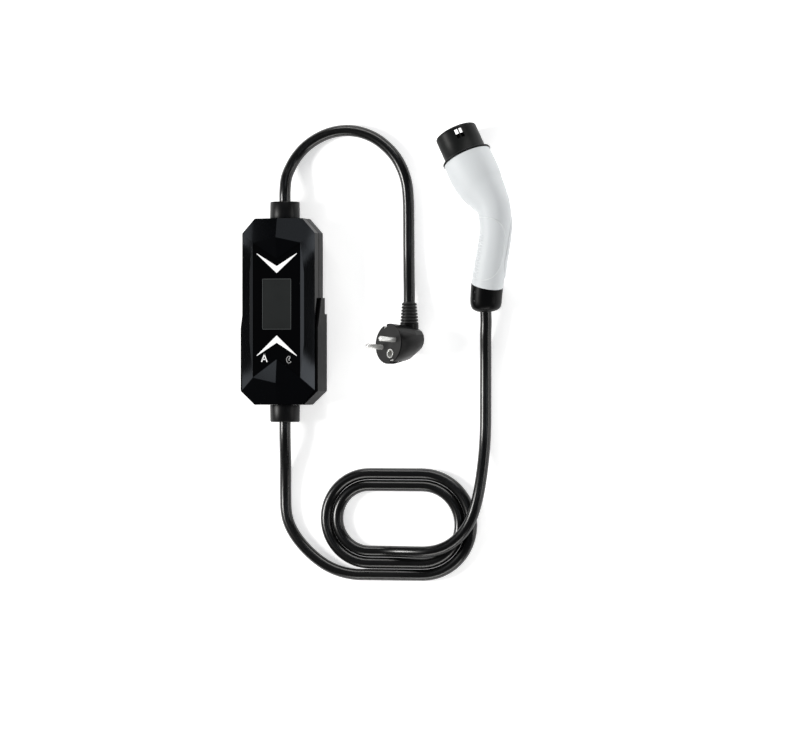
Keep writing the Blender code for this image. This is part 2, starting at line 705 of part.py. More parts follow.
def make_electronics(looks):
    """The circuit board, and the relays, supply, sensor ring and terminals that stand on it."""
    middle = (0.0, 0.0, BOARD_Z + BOARD_THICKNESS / 2)
    block("circuit_board", (BOARD_WIDTH, BOARD_LENGTH, BOARD_THICKNESS), middle, looks["board"])
    top = BOARD_Z + BOARD_THICKNESS + GAP
    pieces = (
        ("relay_1", RELAY_SIZE, -RELAY_X, RELAY_Y, "relay"),
        ("relay_2", RELAY_SIZE, RELAY_X, RELAY_Y, "relay"),
        ("power_supply", SUPPLY_SIZE, 0.0, SUPPLY_Y, "case"),
        ("terminal_block_in", TERMINAL_SIZE, 0.0, TERMINAL_Y, "carrier"),
        ("terminal_block_out", TERMINAL_SIZE, 0.0, -TERMINAL_Y, "carrier"),
    )
    for name, size, x, y, look in pieces:
        block(name, size, (x, y, top + size[2] / 2), looks[look], edge=MOULDED_EDGE)
    sensor = [(SENSOR_HOLE, top + SENSOR_HEIGHT), (SENSOR_RADIUS, top + SENSOR_HEIGHT),
              (SENSOR_RADIUS, top), (SENSOR_HOLE, top)]
    ring = turned("current_sensor", sensor, looks["rubber"], steps=24, ring=True)
    ring.location = (0.0, SENSOR_Y, 0.0)


def make_glands(looks):
    """A gland at each end: a collar outside, a neck through the wall and a nut inside."""
    wall = BOX_LENGTH / 2
    nut_high = wall - WALL - GLAND_NUT_SETBACK
    for end, turn in (("upper", -90), ("lower", 90)):
        collar = [
            (0.0, wall + GLAND_LENGTH), (GLAND_RADIUS - GLAND_EDGE, wall + GLAND_LENGTH),
            (GLAND_RADIUS, wall + GLAND_LENGTH - GLAND_EDGE), (GLAND_RADIUS, wall + GAP),
            (GLAND_NECK_RADIUS, wall + GAP), (GLAND_NECK_RADIUS, nut_high - GLAND_NUT_LENGTH - WALL),
            (0.0, nut_high - GLAND_NUT_LENGTH - WALL),
        ]
        low = nut_high - GLAND_NUT_LENGTH
        nut = turned(f"{end}_gland_nut", rod(GLAND_NUT_RADIUS, low, nut_high), looks["steel"], steps=6)
        bore = turned(f"{end}_gland_nut_hole", rod(GLAND_NECK_RADIUS + GAP, low - WALL, nut_high + WALL))
        cut(nut, bore)
        for piece in (turned(f"{end}_gland", collar, looks["gland"]), nut, bore):
            piece.rotation_euler = (math.radians(turn), 0.0, 0.0)
            piece.location = (0.0, 0.0, GLAND_Z)


# Handset

def station_frames(stations, first_lean=None, last_lean=None):
    """Middle, direction across, half width and half depth at every station of a spine."""
    frames = []
    for at, (x, y, width, depth) in enumerate(stations):
        before = stations[max(at - 1, 0)]
        after = stations[min(at + 1, len(stations) - 1)]
        along = Vector((after[0] - before[0], after[1] - before[1], 0.0)).normalized()
        if at == 0 and first_lean is not None:
            along = Vector((-math.sin(first_lean), math.cos(first_lean), 0.0))
        if at == len(stations) - 1 and last_lean is not None:
            along = Vector((-math.sin(last_lean), math.cos(last_lean), 0.0))
        across = Vector((along.y, -along.x, 0.0))
        frames.append((Vector((x, y, 0.0)), across, width, depth))
    return frames


def arc_points(station, wall, start, steps):
    """Half an ellipse round the spine from a start angle, moved out from the seam by half the gap."""
    middle, across, width, depth = station
    up = Vector((0.0, 0.0, 1.0))
    apart = start + math.pi / 2
    middle = middle + GAP / 2 * (across * math.cos(apart) + up * math.sin(apart))
    points = []
    for step in range(steps + 1):
        turn = start + math.pi * step / steps
        sideways = across * (width - wall) * math.cos(turn)
        points.append(middle + sideways + up * (depth - wall) * math.sin(turn))
    return points


def make_handset_shells(looks, frame):
    """Two half shells whose seams run along the sides."""
    stations = station_frames(GRIP_STATIONS, CAP_LEAN, HEAD_LEAN)
    for name, start in (("upper", SEAM_TURN), ("lower", SEAM_TURN + math.pi)):
        rings = []
        for station in stations:
            outer = arc_points(station, 0.0, start, 14)
            inner = arc_points(station, SHELL_WALL, start, 14)
            rings.append(outer + list(reversed(inner)))
        shell = rings_object(f"handset_shell_{name}", rings, looks["shell"])
        shade(shell)
        place(shell, frame)


def make_end_cap(looks, frame):
    """The black cap round the lower end, hollow where the shells meet it, with two screws."""
    rings = []
    for middle, across, width, depth in station_frames(CAP_STATIONS, 0.0, CAP_LEAN):
        ring = []
        for step in range(ROUND_STEPS - 4):
            turn = 2 * math.pi * step / (ROUND_STEPS - 4)
            upwards = Vector((0.0, 0.0, depth * math.sin(turn)))
            ring.append(middle + across * width * math.cos(turn) + upwards)
        rings.append(ring)
    cap = rings_object("handset_end_cap", rings, looks["head"])
    top = CAP_STATIONS[-1]
    hollow_radius = top[3] - CAP_WALL
    hollow = turned("cap_hollow", rod(hollow_radius, 0.0, CAP_TOP_Y), steps=24)
    hollow.rotation_euler = (math.radians(-90), 0.0, CAP_LEAN / 2)
    hollow.location = (0.0, CAP_CAVITY_START, 0.0)
    bpy.context.view_layer.update()
    cut(cap, hollow)
    place(hollow, frame)
    shade(cap)
    place(cap, frame)
    for number, (x, y) in enumerate(CAP_SCREWS, 1):
        out = Matrix.Translation((x, y, 0.0)) @ Matrix.Rotation(CAP_SCREW_TURN, 4, "Y")
        well = rod(CAP_SCREW_RADIUS + GAP, CAP_SCREW_LOW - GAP, CAP_SCREW_HIGH + CAP_WALL)
        hole = turned(f"cap_screw_hole_{number}", well, steps=SMALL_STEPS)
        shank = rod(CAP_SCREW_RADIUS, CAP_SCREW_LOW, CAP_SCREW_HIGH)
        screw = turned(f"cap_screw_{number}", shank, looks["steel"], steps=SMALL_STEPS)
        bpy.context.view_layer.update()
        place(hole, frame @ out)
        place(screw, frame @ out)
        cut(cap, hole)


def head_frame(frame):
    """The frame whose Z runs along the connector head's axis from the flange, and Y out of the window."""
    x, y = GRIP_STATIONS[-1][:2]
    stand = Matrix.Rotation(math.radians(-90), 4, "X")
    turn = Matrix.Rotation(math.radians(180), 4, "Z")
    return frame @ Matrix.Translation((x, y, 0.0)) @ Matrix.Rotation(HEAD_LEAN, 4, "Z") @ stand @ turn


def make_head(looks, frame):
    """The round shroud with its flange and locking windows."""
    seat = head_frame(frame)
    rim = GAP + HEAD_LENGTH
    front = GAP + FLANGE_THICKNESS
    bore = HEAD_RADIUS - HEAD_WALL
    profile = [
        (0.0, HEAD_FLOOR), (bore, HEAD_FLOOR), (bore, rim), (HEAD_RADIUS - SHROUD_EDGE, rim),
        (HEAD_RADIUS, rim - SHROUD_EDGE), (HEAD_RADIUS, front),
        (FLANGE_RADIUS - FLANGE_EDGE, front), (FLANGE_RADIUS, front - FLANGE_EDGE),
        (FLANGE_RADIUS, GAP), (SPIGOT_RADIUS, GAP), (SPIGOT_RADIUS, -SPIGOT_LENGTH), (0.0, -SPIGOT_LENGTH),
    ]
    head = turned("connector_head", profile, looks["head"], steps=36)
    low = rim - WINDOW_NEAR_RIM - WINDOW_LENGTH / 2
    for number, side in enumerate((-1, 1), 1):
        size = (WINDOW_WIDTH, 3 * HEAD_WALL, WINDOW_LENGTH)
        window = block(f"head_window_{number}", size, (side * WINDOW_SPACING / 2, HEAD_RADIUS, low))
        place(window, seat @ Matrix.Rotation(WINDOW_TURN, 4, "Z"))
        cut(head, window)
    place(head, seat)


def make_carrier(looks, frame):
    """The contact carrier with seven holes, and the sleeves of the five contacts in use."""
    seat = head_frame(frame) @ Matrix.Rotation(CONTACT_TURN, 4, "Z")
    low = HEAD_FLOOR + GAP
    carrier = turned("contact_carrier", rod(CARRIER_RADIUS, low, CARRIER_FACE), looks["carrier"])
    place(carrier, seat)
    holes = [(x, y, radius) for _, x, y, radius in CONTACTS]
    holes += [(x, y, POWER_CONTACT_RADIUS) for x, y in EMPTY_CONTACTS]
    bottom = CARRIER_FACE - CONTACT_DEPTH
    for number, (x, y, radius) in enumerate(holes, 1):
        hole = turned(f"contact_hole_{number}", rod(radius, bottom, CARRIER_FACE + WALL), steps=SMALL_STEPS)
        place(hole, seat @ Matrix.Translation((x, y, 0.0)))
        cut(carrier, hole)
    for name, x, y, radius in CONTACTS:
        outer = radius - GAP
        inner = outer * CONTACT_BORE_SHARE
        top = CARRIER_FACE - CONTACT_SINK
        low = bottom + GAP
        floor = low + WALL
        sleeve = [(0.0, floor), (inner, floor), (inner, top), (outer, top), (outer, low), (0.0, low)]
        contact = turned(name, sleeve, looks["brass"], steps=12)
        place(contact, seat @ Matrix.Translation((x, y, 0.0)))


# Mains plug

def plug_frame():
    """Z points out of the plug's face, and Y towards the cord."""
    turn = Matrix.Rotation(PLUG_TURN, 4, "Z") @ Matrix.Rotation(PLUG_LEAN, 4, "Y")
    return Matrix.Translation(PLUG_FACE) @ turn @ Matrix.Rotation(-PLUG_YAW, 4, "X")


def circle(radius, height, count, shift=0.0):
    """A ring of points about Z, moved along Y."""
    turns = [2 * math.pi * at / count for at in range(count)]
    return [(radius * math.cos(turn), shift + radius * math.sin(turn), height) for turn in turns]


def hull(name, points, material=None):
    """The convex solid round a set of points."""
    shape = bmesh.new()
    for point in points:
        shape.verts.new(point)
    made = bmesh.ops.convex_hull(shape, input=shape.verts)
    spare = {item for item in made["geom_interior"] if isinstance(item, bmesh.types.BMVert)}
    bmesh.ops.delete(shape, geom=list(spare), context="VERTS")
    return add_object(name, shape, material)


def make_plug_body(looks, seat):
    """The moulded body: a round face, a back that draws in, and a neck towards the cord."""
    points = circle(PLUG_RADIUS - PLUG_EDGE, 0.0, 32) + circle(PLUG_RADIUS, -PLUG_EDGE, 32)
    points += circle(PLUG_RADIUS, -PLUG_RIM, 32)
    points += circle(PLUG_WAIST_RADIUS, -PLUG_WAIST_DEPTH, 16, PLUG_WAIST_SHIFT)
    points += circle(PLUG_BACK_RADIUS, -PLUG_DEPTH, 16, PLUG_BACK_SHIFT)
    body = hull("plug_body", points, looks["plug"])
    neck = turned("plug_neck", rod(NECK_RADIUS, 0.0, NECK_END), steps=24)
    neck.rotation_euler = (math.radians(-90), 0.0, 0.0)
    neck.location = (0.0, 0.0, -PLUG_CORD_DEPTH)
    bpy.context.view_layer.update()
    place(neck, seat)
    join(body, neck)
    turn = Matrix.Rotation(PIN_TURN, 4, "Z")
    for number, sign in enumerate((1, -1), 1):
        notch = block(f"plug_notch_{number}", (NOTCH_WIDTH, 2 * NOTCH_DEPTH, 2 * STRIP_LENGTH + 2 * GAP),
                      (0.0, sign * PLUG_RADIUS, 0.0))
        place(notch, seat @ turn)
        cut(body, notch)
        hole = turned(f"pin_hole_{number}", rod(PIN_RADIUS + GAP, -PIN_ROOT - GAP, WALL), steps=SMALL_STEPS)
        place(hole, seat @ turn @ Matrix.Translation((sign * PIN_SPACING / 2, 0.0, 0.0)))
        cut(body, hole)
    bore = turned("earth_bore", rod(EARTH_SLEEVE_RADIUS + GAP, -EARTH_SLEEVE_DEPTH - GAP, WALL), steps=20)
    place(bore, seat @ turn @ Matrix.Translation((0.0, -EARTH_HOLE_OFFSET, 0.0)))
    cut(body, bore)
    place(body, seat)


def make_plug_metal(looks, seat):
    """Two pins, two earth strips and the sleeve of the earth socket."""
    turn = Matrix.Rotation(PIN_TURN, 4, "Z")
    for number, sign in enumerate((1, -1), 1):
        profile = [
            (0.0, PIN_LENGTH), (PIN_RADIUS - PIN_TIP * 0.7, PIN_LENGTH - PIN_TIP * 0.1),
            (PIN_RADIUS, PIN_LENGTH - PIN_TIP), (PIN_RADIUS, -PIN_ROOT), (0.0, -PIN_ROOT),
        ]
        pin = turned(f"plug_pin_{number}", profile, looks["steel"], steps=SMALL_STEPS)
        place(pin, seat @ turn @ Matrix.Translation((sign * PIN_SPACING / 2, 0.0, 0.0)))
        middle_y = sign * (PLUG_RADIUS - NOTCH_DEPTH + GAP + STRIP_THICKNESS / 2)
        strip = block(f"earth_strip_{number}", (STRIP_WIDTH, STRIP_THICKNESS, STRIP_LENGTH - GAP),
                      (0.0, middle_y, -STRIP_LENGTH / 2), looks["steel"], edge=0.0003)
        place(strip, seat @ turn)
    inner = EARTH_SLEEVE_RADIUS - EARTH_SLEEVE_WALL
    profile = [(inner, 0.0006), (EARTH_SLEEVE_RADIUS, 0.0006), (EARTH_SLEEVE_RADIUS, -EARTH_SLEEVE_DEPTH),
               (inner, -EARTH_SLEEVE_DEPTH)]
    sleeve = turned("earth_sleeve", profile, looks["steel"], steps=20, ring=True)
    place(sleeve, seat @ turn @ Matrix.Translation((0.0, -EARTH_HOLE_OFFSET, 0.0)))


def make_strain_relief(looks, seat):
    """The ribbed, tapered sleeve between the plug and its cord."""
    start = NECK_END + GAP
    rib = RELIEF_LENGTH / (RELIEF_RIBS + 1)
    profile = []
    for number in range(RELIEF_RIBS + 1):
        for share, sink in ((0.0, RIB_DEPTH), (0.18, 0.0), (0.72, 0.0), (0.9, RIB_DEPTH)):
            along = (number + share) * rib
            taper = NECK_RADIUS - (NECK_RADIUS - RELIEF_END_RADIUS) * along / RELIEF_LENGTH
            profile.append((taper - sink, start + along))
    profile = [(0.0, start)] + profile + [(0.0, profile[-1][1])]
    relief = turned("plug_strain_relief", list(reversed(profile)), looks["rubber"], steps=20)
    relief.rotation_euler = (math.radians(-90), 0.0, 0.0)
    relief.location = (0.0, 0.0, -PLUG_CORD_DEPTH)
    bpy.context.view_layer.update()
    place(relief, seat)


# Cords

def half_turn(number, offset, backwards=False):
    """The edge of half turn number, offset from its middle line."""
    radius = COIL_OUTER_RADIUS - number * COIL_PITCH / 2
    right = number % 2 == 0
    middle_x = COIL_RIGHT_X if right else COIL_LEFT_X
    middle_y = COIL_FRONT_Y + COIL_OUTER_RADIUS + (0.0 if right else COIL_PITCH / 2)
    start = -90 if right else 90
    points = []
    for step in range(11):
        angle = math.radians(start + 18 * step)
        reach = radius + offset
        points.append((middle_x + reach * math.cos(angle), middle_y + reach * math.sin(angle)))
    return list(reversed(points)) if backwards else points


def make_coil(looks):
    """The outer shape of the coil, as a flat ring with a step where the cord comes in and leaves."""
    outer = [(COIL_LEFT_X, COIL_FRONT_Y - CORD_RADIUS)]
    outer += half_turn(0, CORD_RADIUS) + half_turn(1, CORD_RADIUS)
    last_front = COIL_FRONT_Y + 2 * COIL_PITCH
    inner = [(COIL_EXIT_X, last_front + CORD_RADIUS)]
    inner += half_turn(3, -CORD_RADIUS, True) + half_turn(2, -CORD_RADIUS, True)
    inner += [(COIL_EXIT_X, last_front - COIL_PITCH + CORD_RADIUS)]
    curve = bpy.data.curves.new("cord_coil", "CURVE")
    curve.dimensions = "2D"
    curve.fill_mode = "BOTH"
    curve.extrude = CORD_RADIUS
    for outline in (outer, inner):
        spline = curve.splines.new("POLY")
        spline.points.add(len(outline) - 1)
        for knot, (x, y) in zip(spline.points, outline):
            knot.co = (x, y, 0.0, 1.0)
        spline.use_cyclic_u = True
    curve.materials.append(looks["cord"])
    coil = bpy.data.objects.new("cord_coil", curve)
    coil.location = (0.0, 0.0, CORD_RADIUS)
    part.objects.link(coil)


def make_cords(looks, plug_seat, handset_seat):
    """The cord to the plug, and the cord to the handset before and after its coil."""
    gland_face = BOX_LENGTH / 2 + GLAND_LENGTH + GAP
    relief_end = NECK_END + RELIEF_LENGTH + GAP
    plug_end = plug_seat @ Vector((0.0, relief_end, -PLUG_CORD_DEPTH))
    before_plug = plug_seat @ Vector((0.0, relief_end + 2 * CORD_RADIUS, -PLUG_CORD_DEPTH))
    upper = [(0.0, gland_face, GLAND_Z)] + list(UPPER_ROUTE) + [before_plug, plug_end]
    cord_tube("plug_cord", upper, looks["cord"])
    lower = [(0.0, -gland_face, GLAND_Z)] + list(LOWER_ROUTE)
    lower += [(COIL_LEFT_X - GAP, COIL_FRONT_Y, CORD_RADIUS)]
    cord_tube("coil_cord", lower, looks["cord"])
    last_front = COIL_FRONT_Y + 2 * COIL_PITCH
    cap_face = handset_seat @ Vector((0.0, -GAP, 0.0))
    before_cap = handset_seat @ Vector((0.0, -2 * CORD_RADIUS, 0.0))
    back = [(COIL_EXIT_X + GAP, last_front, CORD_RADIUS)]
    back += [(x, last_front + y, z) for x, y, z in RETURN_ROUTE] + [before_cap, cap_face]
    cord_tube("handset_cord", back, looks["cord"])


# Sizes that follow from the ones above
FRONT_BASE = REAR_COVER_TOP + GASKET_THICKNESS + 2 * GAP
SCREW_SEAT = SCREW_HEAD_HEIGHT + 2 * GAP


def main():
    for thing in list(bpy.data.objects):
        bpy.data.objects.remove(thing)
    bpy.context.scene.collection.children.link(part)
    bpy.context.scene.collection.children.link(cutters)
    looks = make_materials()
    make_front_cover(looks)
    make_rear_cover(looks)
    make_case_screws(looks)
    make_gasket(looks)
    make_face(looks)
    make_side_grips(looks)
    make_electronics(looks)
    make_glands(looks)
    handset_seat = Matrix.Translation((HANDSET_X, HANDSET_Y, HANDSET_Z))
    handset_seat @= Matrix.Rotation(HANDSET_TURN, 4, "Z") @ Matrix.Rotation(HANDSET_TILT, 4, "X")
    handset_seat @= Matrix.Rotation(HANDSET_ROLL, 4, "Y")
    make_handset_shells(looks, handset_seat)
    make_end_cap(looks, handset_seat)
    make_head(looks, handset_seat)
    make_carrier(looks, handset_seat)
    plug_seat = plug_frame()
    make_plug_body(looks, plug_seat)
    make_plug_metal(looks, plug_seat)
    make_strain_relief(looks, plug_seat)
    make_cords(looks, plug_seat, handset_seat)
    make_coil(looks)


main()
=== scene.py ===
"""Looks of a portable charger for an electric car, laid out flat and seen from above.

Sizes are in metres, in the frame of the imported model: X across the control box, Y along it,
and Z up from the floor under it.
"""

import math

import bmesh
import bpy
from mathutils import Matrix, Vector


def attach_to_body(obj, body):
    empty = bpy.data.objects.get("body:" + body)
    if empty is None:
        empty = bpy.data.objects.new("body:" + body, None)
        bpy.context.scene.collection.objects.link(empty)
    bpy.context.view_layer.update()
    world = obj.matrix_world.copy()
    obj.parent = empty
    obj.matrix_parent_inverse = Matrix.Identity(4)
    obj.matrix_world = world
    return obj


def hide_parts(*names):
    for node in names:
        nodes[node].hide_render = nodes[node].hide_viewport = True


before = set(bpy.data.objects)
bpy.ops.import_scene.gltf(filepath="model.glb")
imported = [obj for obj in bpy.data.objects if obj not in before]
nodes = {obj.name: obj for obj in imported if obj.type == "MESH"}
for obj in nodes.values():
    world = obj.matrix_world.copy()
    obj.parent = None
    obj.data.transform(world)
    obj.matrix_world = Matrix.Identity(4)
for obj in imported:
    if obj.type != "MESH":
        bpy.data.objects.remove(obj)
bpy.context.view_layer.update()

# The photograph: 800 pixels wide, taken from far off with the camera leaning to the right
VIEW_TARGET = Vector((0.1337, -0.0741, 0.020))
VIEW_DISTANCE = 5.0
VIEW_LEAN = math.radians(15)
SENSOR_WIDTH = 36.0
VIEW_WIDTH = 0.8904
CLIP_END = 20.0

# Floor and surroundings
FLOOR_SIZE = 6.0
FLOOR_DROP = 0.0002
FLOOR_TONE = (0.95, 0.95, 0.95)
FLOOR_ROUGH = 0.9
FLOOR_GLOW = 0.5
WORLD_TINT = (0.86, 0.92, 1.0, 1.0)
WORLD_STRENGTH = 0.05

# Lights: azimuth from +X, height above the floor, distance, width and height, power and tint.
# The strong ones look at the middle of the scene from where no facet of the box mirrors them.
# The weak ones look at the box, each from where one of its facets shows it.
WHITE = (1.0, 0.99, 0.97)
COOL = (0.84, 0.91, 1.0)
BOX_MIDDLE = Vector((0.0, 0.0, 0.05))
LIGHTS = (
    ("key", 180, 36, 2.4, (0.7, 0.7), 50, WHITE),
    ("fill_low", 275, 24, 2.4, (2.6, 0.7), 36, WHITE),
    ("fill_high", 85, 24, 2.4, (2.6, 0.7), 36, WHITE),
    ("fill_right", 0, 18, 2.4, (1.8, 0.5), 12, WHITE),
)
GLEAMS = (
    ("gleam_diamond_right", 0, 49.5, 2.2, (0.36, 0.36), 0.95, COOL),
    ("gleam_corner_right", 58.5, 53, 2.2, (0.4, 0.4), 0.6, COOL),
    ("gleam_top_right", 76.6, 58, 2.2, (0.4, 0.4), 0.28, COOL),
    ("gleam_corner_left", 150, 31, 2.2, (0.4, 0.4), 0.5, COOL),
    ("gleam_diamond_left", 180, 19.6, 2.2, (0.36, 0.36), 0.5, COOL),
    ("gleam_lower", 146, 56.4, 2.2, (0.36, 0.36), 0.5, COOL),
    ("gleam_strip_right", 0, 85, 2.2, (0.36, 0.36), 0.6, COOL),
    ("gleam_strip_left", 180, 55, 2.2, (0.3, 0.3), 0.16, COOL),
)

# Finishes: the scale and detail of their noises, and the part of the noise's range that is used
BROAD_SCALE = 18.0
BROAD_DETAIL = 4.0
GRAIN_SCALE = 1400.0
CORD_GRAIN_SCALE = 700.0
GRAIN_DETAIL = 2.0
NOISE_LOW = 0.3
NOISE_HIGH = 0.7
BUMP_STRENGTH = 0.35

# How far up a face of the case looks where its sheen fades out and where it is full
WALL_SLOPE = 0.1
FACET_SLOPE = 0.35

# How squarely a face of the plug looks forward before it gets painted light: a lighter base colour standing
# in for the light that its end catches
FACE_EDGE = 0.985
PAINTED_FACE_LIGHT = (0.036, 0.036, 0.036)

# Rounded edges: how many faces each has, how near the points of a flat may be before they are one,
# and how far its facets may lean before they are more than one flat
EDGE_SEGMENTS = 3
WELD_DISTANCE = 0.000002
FLAT_ANGLE = math.radians(0.4)

# Angles in degrees up to which turned and swept pieces are smooth, and steps round them
TURNED_SMOOTH = 35
RELIEF_SMOOTH = 50
SHELL_SMOOTH = 40
HEAD_SMOOTH = 38
ROUND_STEPS = 96
RELIEF_STEPS = 72

# Clearance between pieces, as in the solids
GAP = 0.0003

UP = Vector((0.0, 0.0, 1.0))

# Cords
CORD_RADIUS = 0.0064
CORD_STEP = 0.003
CORD_ROUNDNESS = 9
CORD_INSIDE = 0.002
CORD_MOUTH = CORD_RADIUS + GAP
MOUTH_DEPTH = 0.004
ROUTE_PIECES = 16

# Glands, with each rounded corner as steps in from its edge and back from its end
BOX_END = 0.104
GLAND_RADIUS = 0.0168
GLAND_FACE = 0.1234
GLAND_Z = 0.019
GLAND_MOUTH_EDGE = 0.0003
GLAND_ROUNDING = ((0.0016, 0.0), (0.0007, 0.0003), (0.0003, 0.0011))
GLAND_FOOT = ((0.0, 0.0012), (0.0002, GAP))
GLAND_STEM_RADIUS = 0.008
GLAND_STEM_LENGTH = 0.0103

# Coil: half turns about two centres, each tighter than the one before
COIL_PITCH = 2 * CORD_RADIUS + 0.0003
COIL_LEFT_X = 0.0944
COIL_RIGHT_X = 0.156
COIL_FRONT_Y = -0.2939
COIL_OUTER_RADIUS = 0.0564
COIL_EXIT_X = 0.098
COIL_HALF_TURNS = 4
COIL_ARC_STEPS = 24

# Handset: the middle of its end cap's face, how it lies, and its side view along the spine
HANDSET_PLACE = Vector((0.2309, 0.0004, 0.01565))
HANDSET_TURN = math.radians(-0.5)
HANDSET_TILT = math.radians(8.05)
HANDSET_ROLL = math.radians(-30)
SEAM_TURN = math.radians(-45)
SHELL_WALL = 0.0026
SHELL_ROWS = 330
SHELL_STEPS = 56
SHELL_INNER_STEPS = 12
SPINE_PIECES = 24
CAP_ROWS = 40
CAP_TOP_Y = 0.0286
CAP_LEAN = math.radians(-13)
GRIP_STATIONS = (
    (0.0034, 0.0291, 0.0180, 0.0176),
    (0.0067, 0.0397, 0.0176, 0.0172),
    (0.0106, 0.0553, 0.0173, 0.0170),
    (0.0142, 0.0683, 0.0171, 0.0169),
    (0.0176, 0.0825, 0.0171, 0.0170),
    (0.0191, 0.0938, 0.0173, 0.0172),
    (0.0183, 0.1061, 0.0179, 0.0178),
    (0.0154, 0.1172, 0.0193, 0.0189),
    (0.0076, 0.1281, 0.0226, 0.0217),
    (-0.0027, 0.1393, 0.0262, 0.0252),
    (-0.0130, 0.1535, 0.0278, 0.0272),
    (-0.0225, 0.1688, 0.0273, 0.0271),
)
CAP_STATIONS = (
    (0.0, 0.0, 0.0108, 0.0108),
    (0.0, 0.0014, 0.0138, 0.0136),
    (0.0001, 0.0042, 0.0163, 0.0160),
    (0.0005, 0.0085, 0.0176, 0.0171),
    (0.0014, 0.0165, 0.0179, 0.0175),
    (0.0033, CAP_TOP_Y, 0.0181, 0.0177),
)
CAP_SCREWS = ((0.0009, 0.0120), (0.0024, 0.0222))
CAP_SCREW_TURN = math.radians(-10)
CAP_HOLE = ((0.0021, 0.0156), (0.0021, 0.03))
CAP_HOLE_STEPS = 32
CAP_SCREW_PROFILE = (
    (0.0018, 0.0159), (0.0018, 0.0170), (0.0015, 0.0172), (0.0007, 0.0172), (0.0007, 0.0164),
)
CAP_SCREW_STEPS = 24

# Finger pad on the handset, by length along the spine and by turn round it, and its ribs
PAD_MIDDLE_Y = 0.072
PAD_HALF_LENGTH = 0.036
PAD_HALF_TURN = math.radians(169.5)
PAD_SIDE = math.radians(180)
PAD_SHAPE = 3.5
PAD_EDGE = 0.03
PAD_HEIGHT = 0.0006
PAD_LINE_RADIUS = 0.0004
PAD_LINE_STEPS = 160
PAD_LINE_ROUNDNESS = 2
RIB_START_Y = 0.038
RIB_END_Y = 0.086
RIB_PITCH = 0.00367
RIB_HEIGHT = 0.0007
RIB_HALF_TURN = math.radians(90)
RIB_FADE_TURN = math.radians(10)

# Connector head, with each rounded corner as steps in from its edge and back from its end
HEAD_LEAN = math.radians(31.2)
FLANGE_RADIUS = 0.0281
FLANGE_THICKNESS = 0.0026
HEAD_RADIUS = 0.0238
HEAD_LENGTH = 0.0325
HEAD_WALL = 0.0029
HEAD_FLOOR = 0.006
SPIGOT_LENGTH = 0.007
MOUTH_ROUNDING = ((0.0, 0.0006), (0.0005, 0.0))
RIM_ROUNDING = ((0.0014, 0.0), (0.0006, 0.0004), (0.0002, 0.0010), (0.0, 0.0018))
HEAD_FILLET = ((0.0, 0.0012), (0.0004, 0.0003), (0.001, 0.0))
FLANGE_ROUNDING = ((0.0011, 0.0), (0.0004, 0.0003), (0.0, 0.0009))
FLANGE_BACK_ROUNDING = ((0.0, 0.0004), (0.0003, 0.0))

# Steps round the head, and how near one may be to the edge of a window, as a turn
HEAD_STEPS = 128
EDGE_CLEARANCE = 0.012
WINDOW_WIDTH = 0.0040
WINDOW_SPACING = 0.0051
WINDOW_NEAR_RIM = 0.0035
WINDOW_LENGTH = 0.0115
WINDOW_TURN = math.radians(51)

# Mains plug
PLUG_FACE = Vector((0.1262, -0.0360, 0.0427))
PLUG_TURN = math.radians(6)
PLUG_LEAN = math.radians(-34)
PLUG_YAW = math.radians(7.6)
PLUG_CORD_DEPTH = 0.031
NECK_RADIUS = 0.0104
NECK_END = 0.0235
RELIEF_LENGTH = 0.025
RELIEF_END_RADIUS = 0.0082
RELIEF_RIBS = 6
RELIEF_START_STEP = 0.001

# One rib of the strain relief: share of its length, and how far it sinks below the taper
RELIEF_GROOVE = (
    (0.05, 0.0016), (0.10, 0.0003), (0.16, 0.0), (0.62, 0.0), (0.68, 0.0003), (0.73, 0.0017),
    (0.99, 0.0018),
)

# Print on the panel
PANEL_TOP = 0.0518
PRINT_HEIGHT = 0.00003
STROKE_OVERLAP = 0.5
LETTER_PLACE = (-0.0144, -0.0519)
LETTER_HALF_WIDTH = 0.0031
LETTER_HALF_HEIGHT = 0.0041
LETTER_BAR_Y = -0.0014
LETTER_BAR_SHARE = 0.6
LETTER_STROKE = 0.0012
CLOCK_PLACE = (0.0142, -0.0537)
CLOCK_HALF_WIDTH = 0.0027
CLOCK_HALF_HEIGHT = 0.0037
CLOCK_START = math.radians(70)
CLOCK_END = math.radians(325)
CLOCK_STEPS = 14
CLOCK_HAND = ((0.0010, 0.0034), (0.0013, 0.0019), (-0.0002, 0.0006), (0.0004, -0.0008))
CLOCK_STROKE = 0.0008
DISPLAY_WIDTH = 0.0328
DISPLAY_TOP = 0.0362
DISPLAY_BOTTOM = -0.0197
RIM_STROKE = 0.0005

# CAD nodes that keep their shape: finish, width of the rounded edges, and the least angle in
# degrees between the faces of an edge that is rounded
PLUG_METAL = ("plug_pin_1", "plug_pin_2", "earth_strip_1", "earth_strip_2", "earth_sleeve")
ROUNDED_NODES = {
    "front_cover": ("case", 0.00035, 6),
    "rear_cover": ("back", 0.0005, 20),
    "side_grip_left": ("grip", 0.0005, 20),
    "side_grip_right": ("grip", 0.0005, 20),
    "contact_carrier": ("carrier", 0.0003, 40),
    "plug_body": ("plug", 0.0006, 22),
    **{name: ("steel", 0.0002, 40) for name in PLUG_METAL},
}
PLAIN_NODES = {
    "case_gasket": "rubber", "face_panel": "panel", "display_screen": "display",
    "upper_light_bar": "light", "lower_light_bar": "light",
    "upper_gland_nut": "steel", "lower_gland_nut": "steel",
    "case_screw_1": "steel", "case_screw_2": "steel", "case_screw_3": "steel", "case_screw_4": "steel",
    "circuit_board": "board", "relay_1": "relay", "relay_2": "relay", "power_supply": "case",
    "current_sensor": "rubber", "terminal_block_in": "carrier", "terminal_block_out": "carrier",
    "contact_earth": "brass", "contact_line": "brass", "contact_neutral": "brass",
    "contact_pilot": "brass", "contact_proximity": "brass",
}

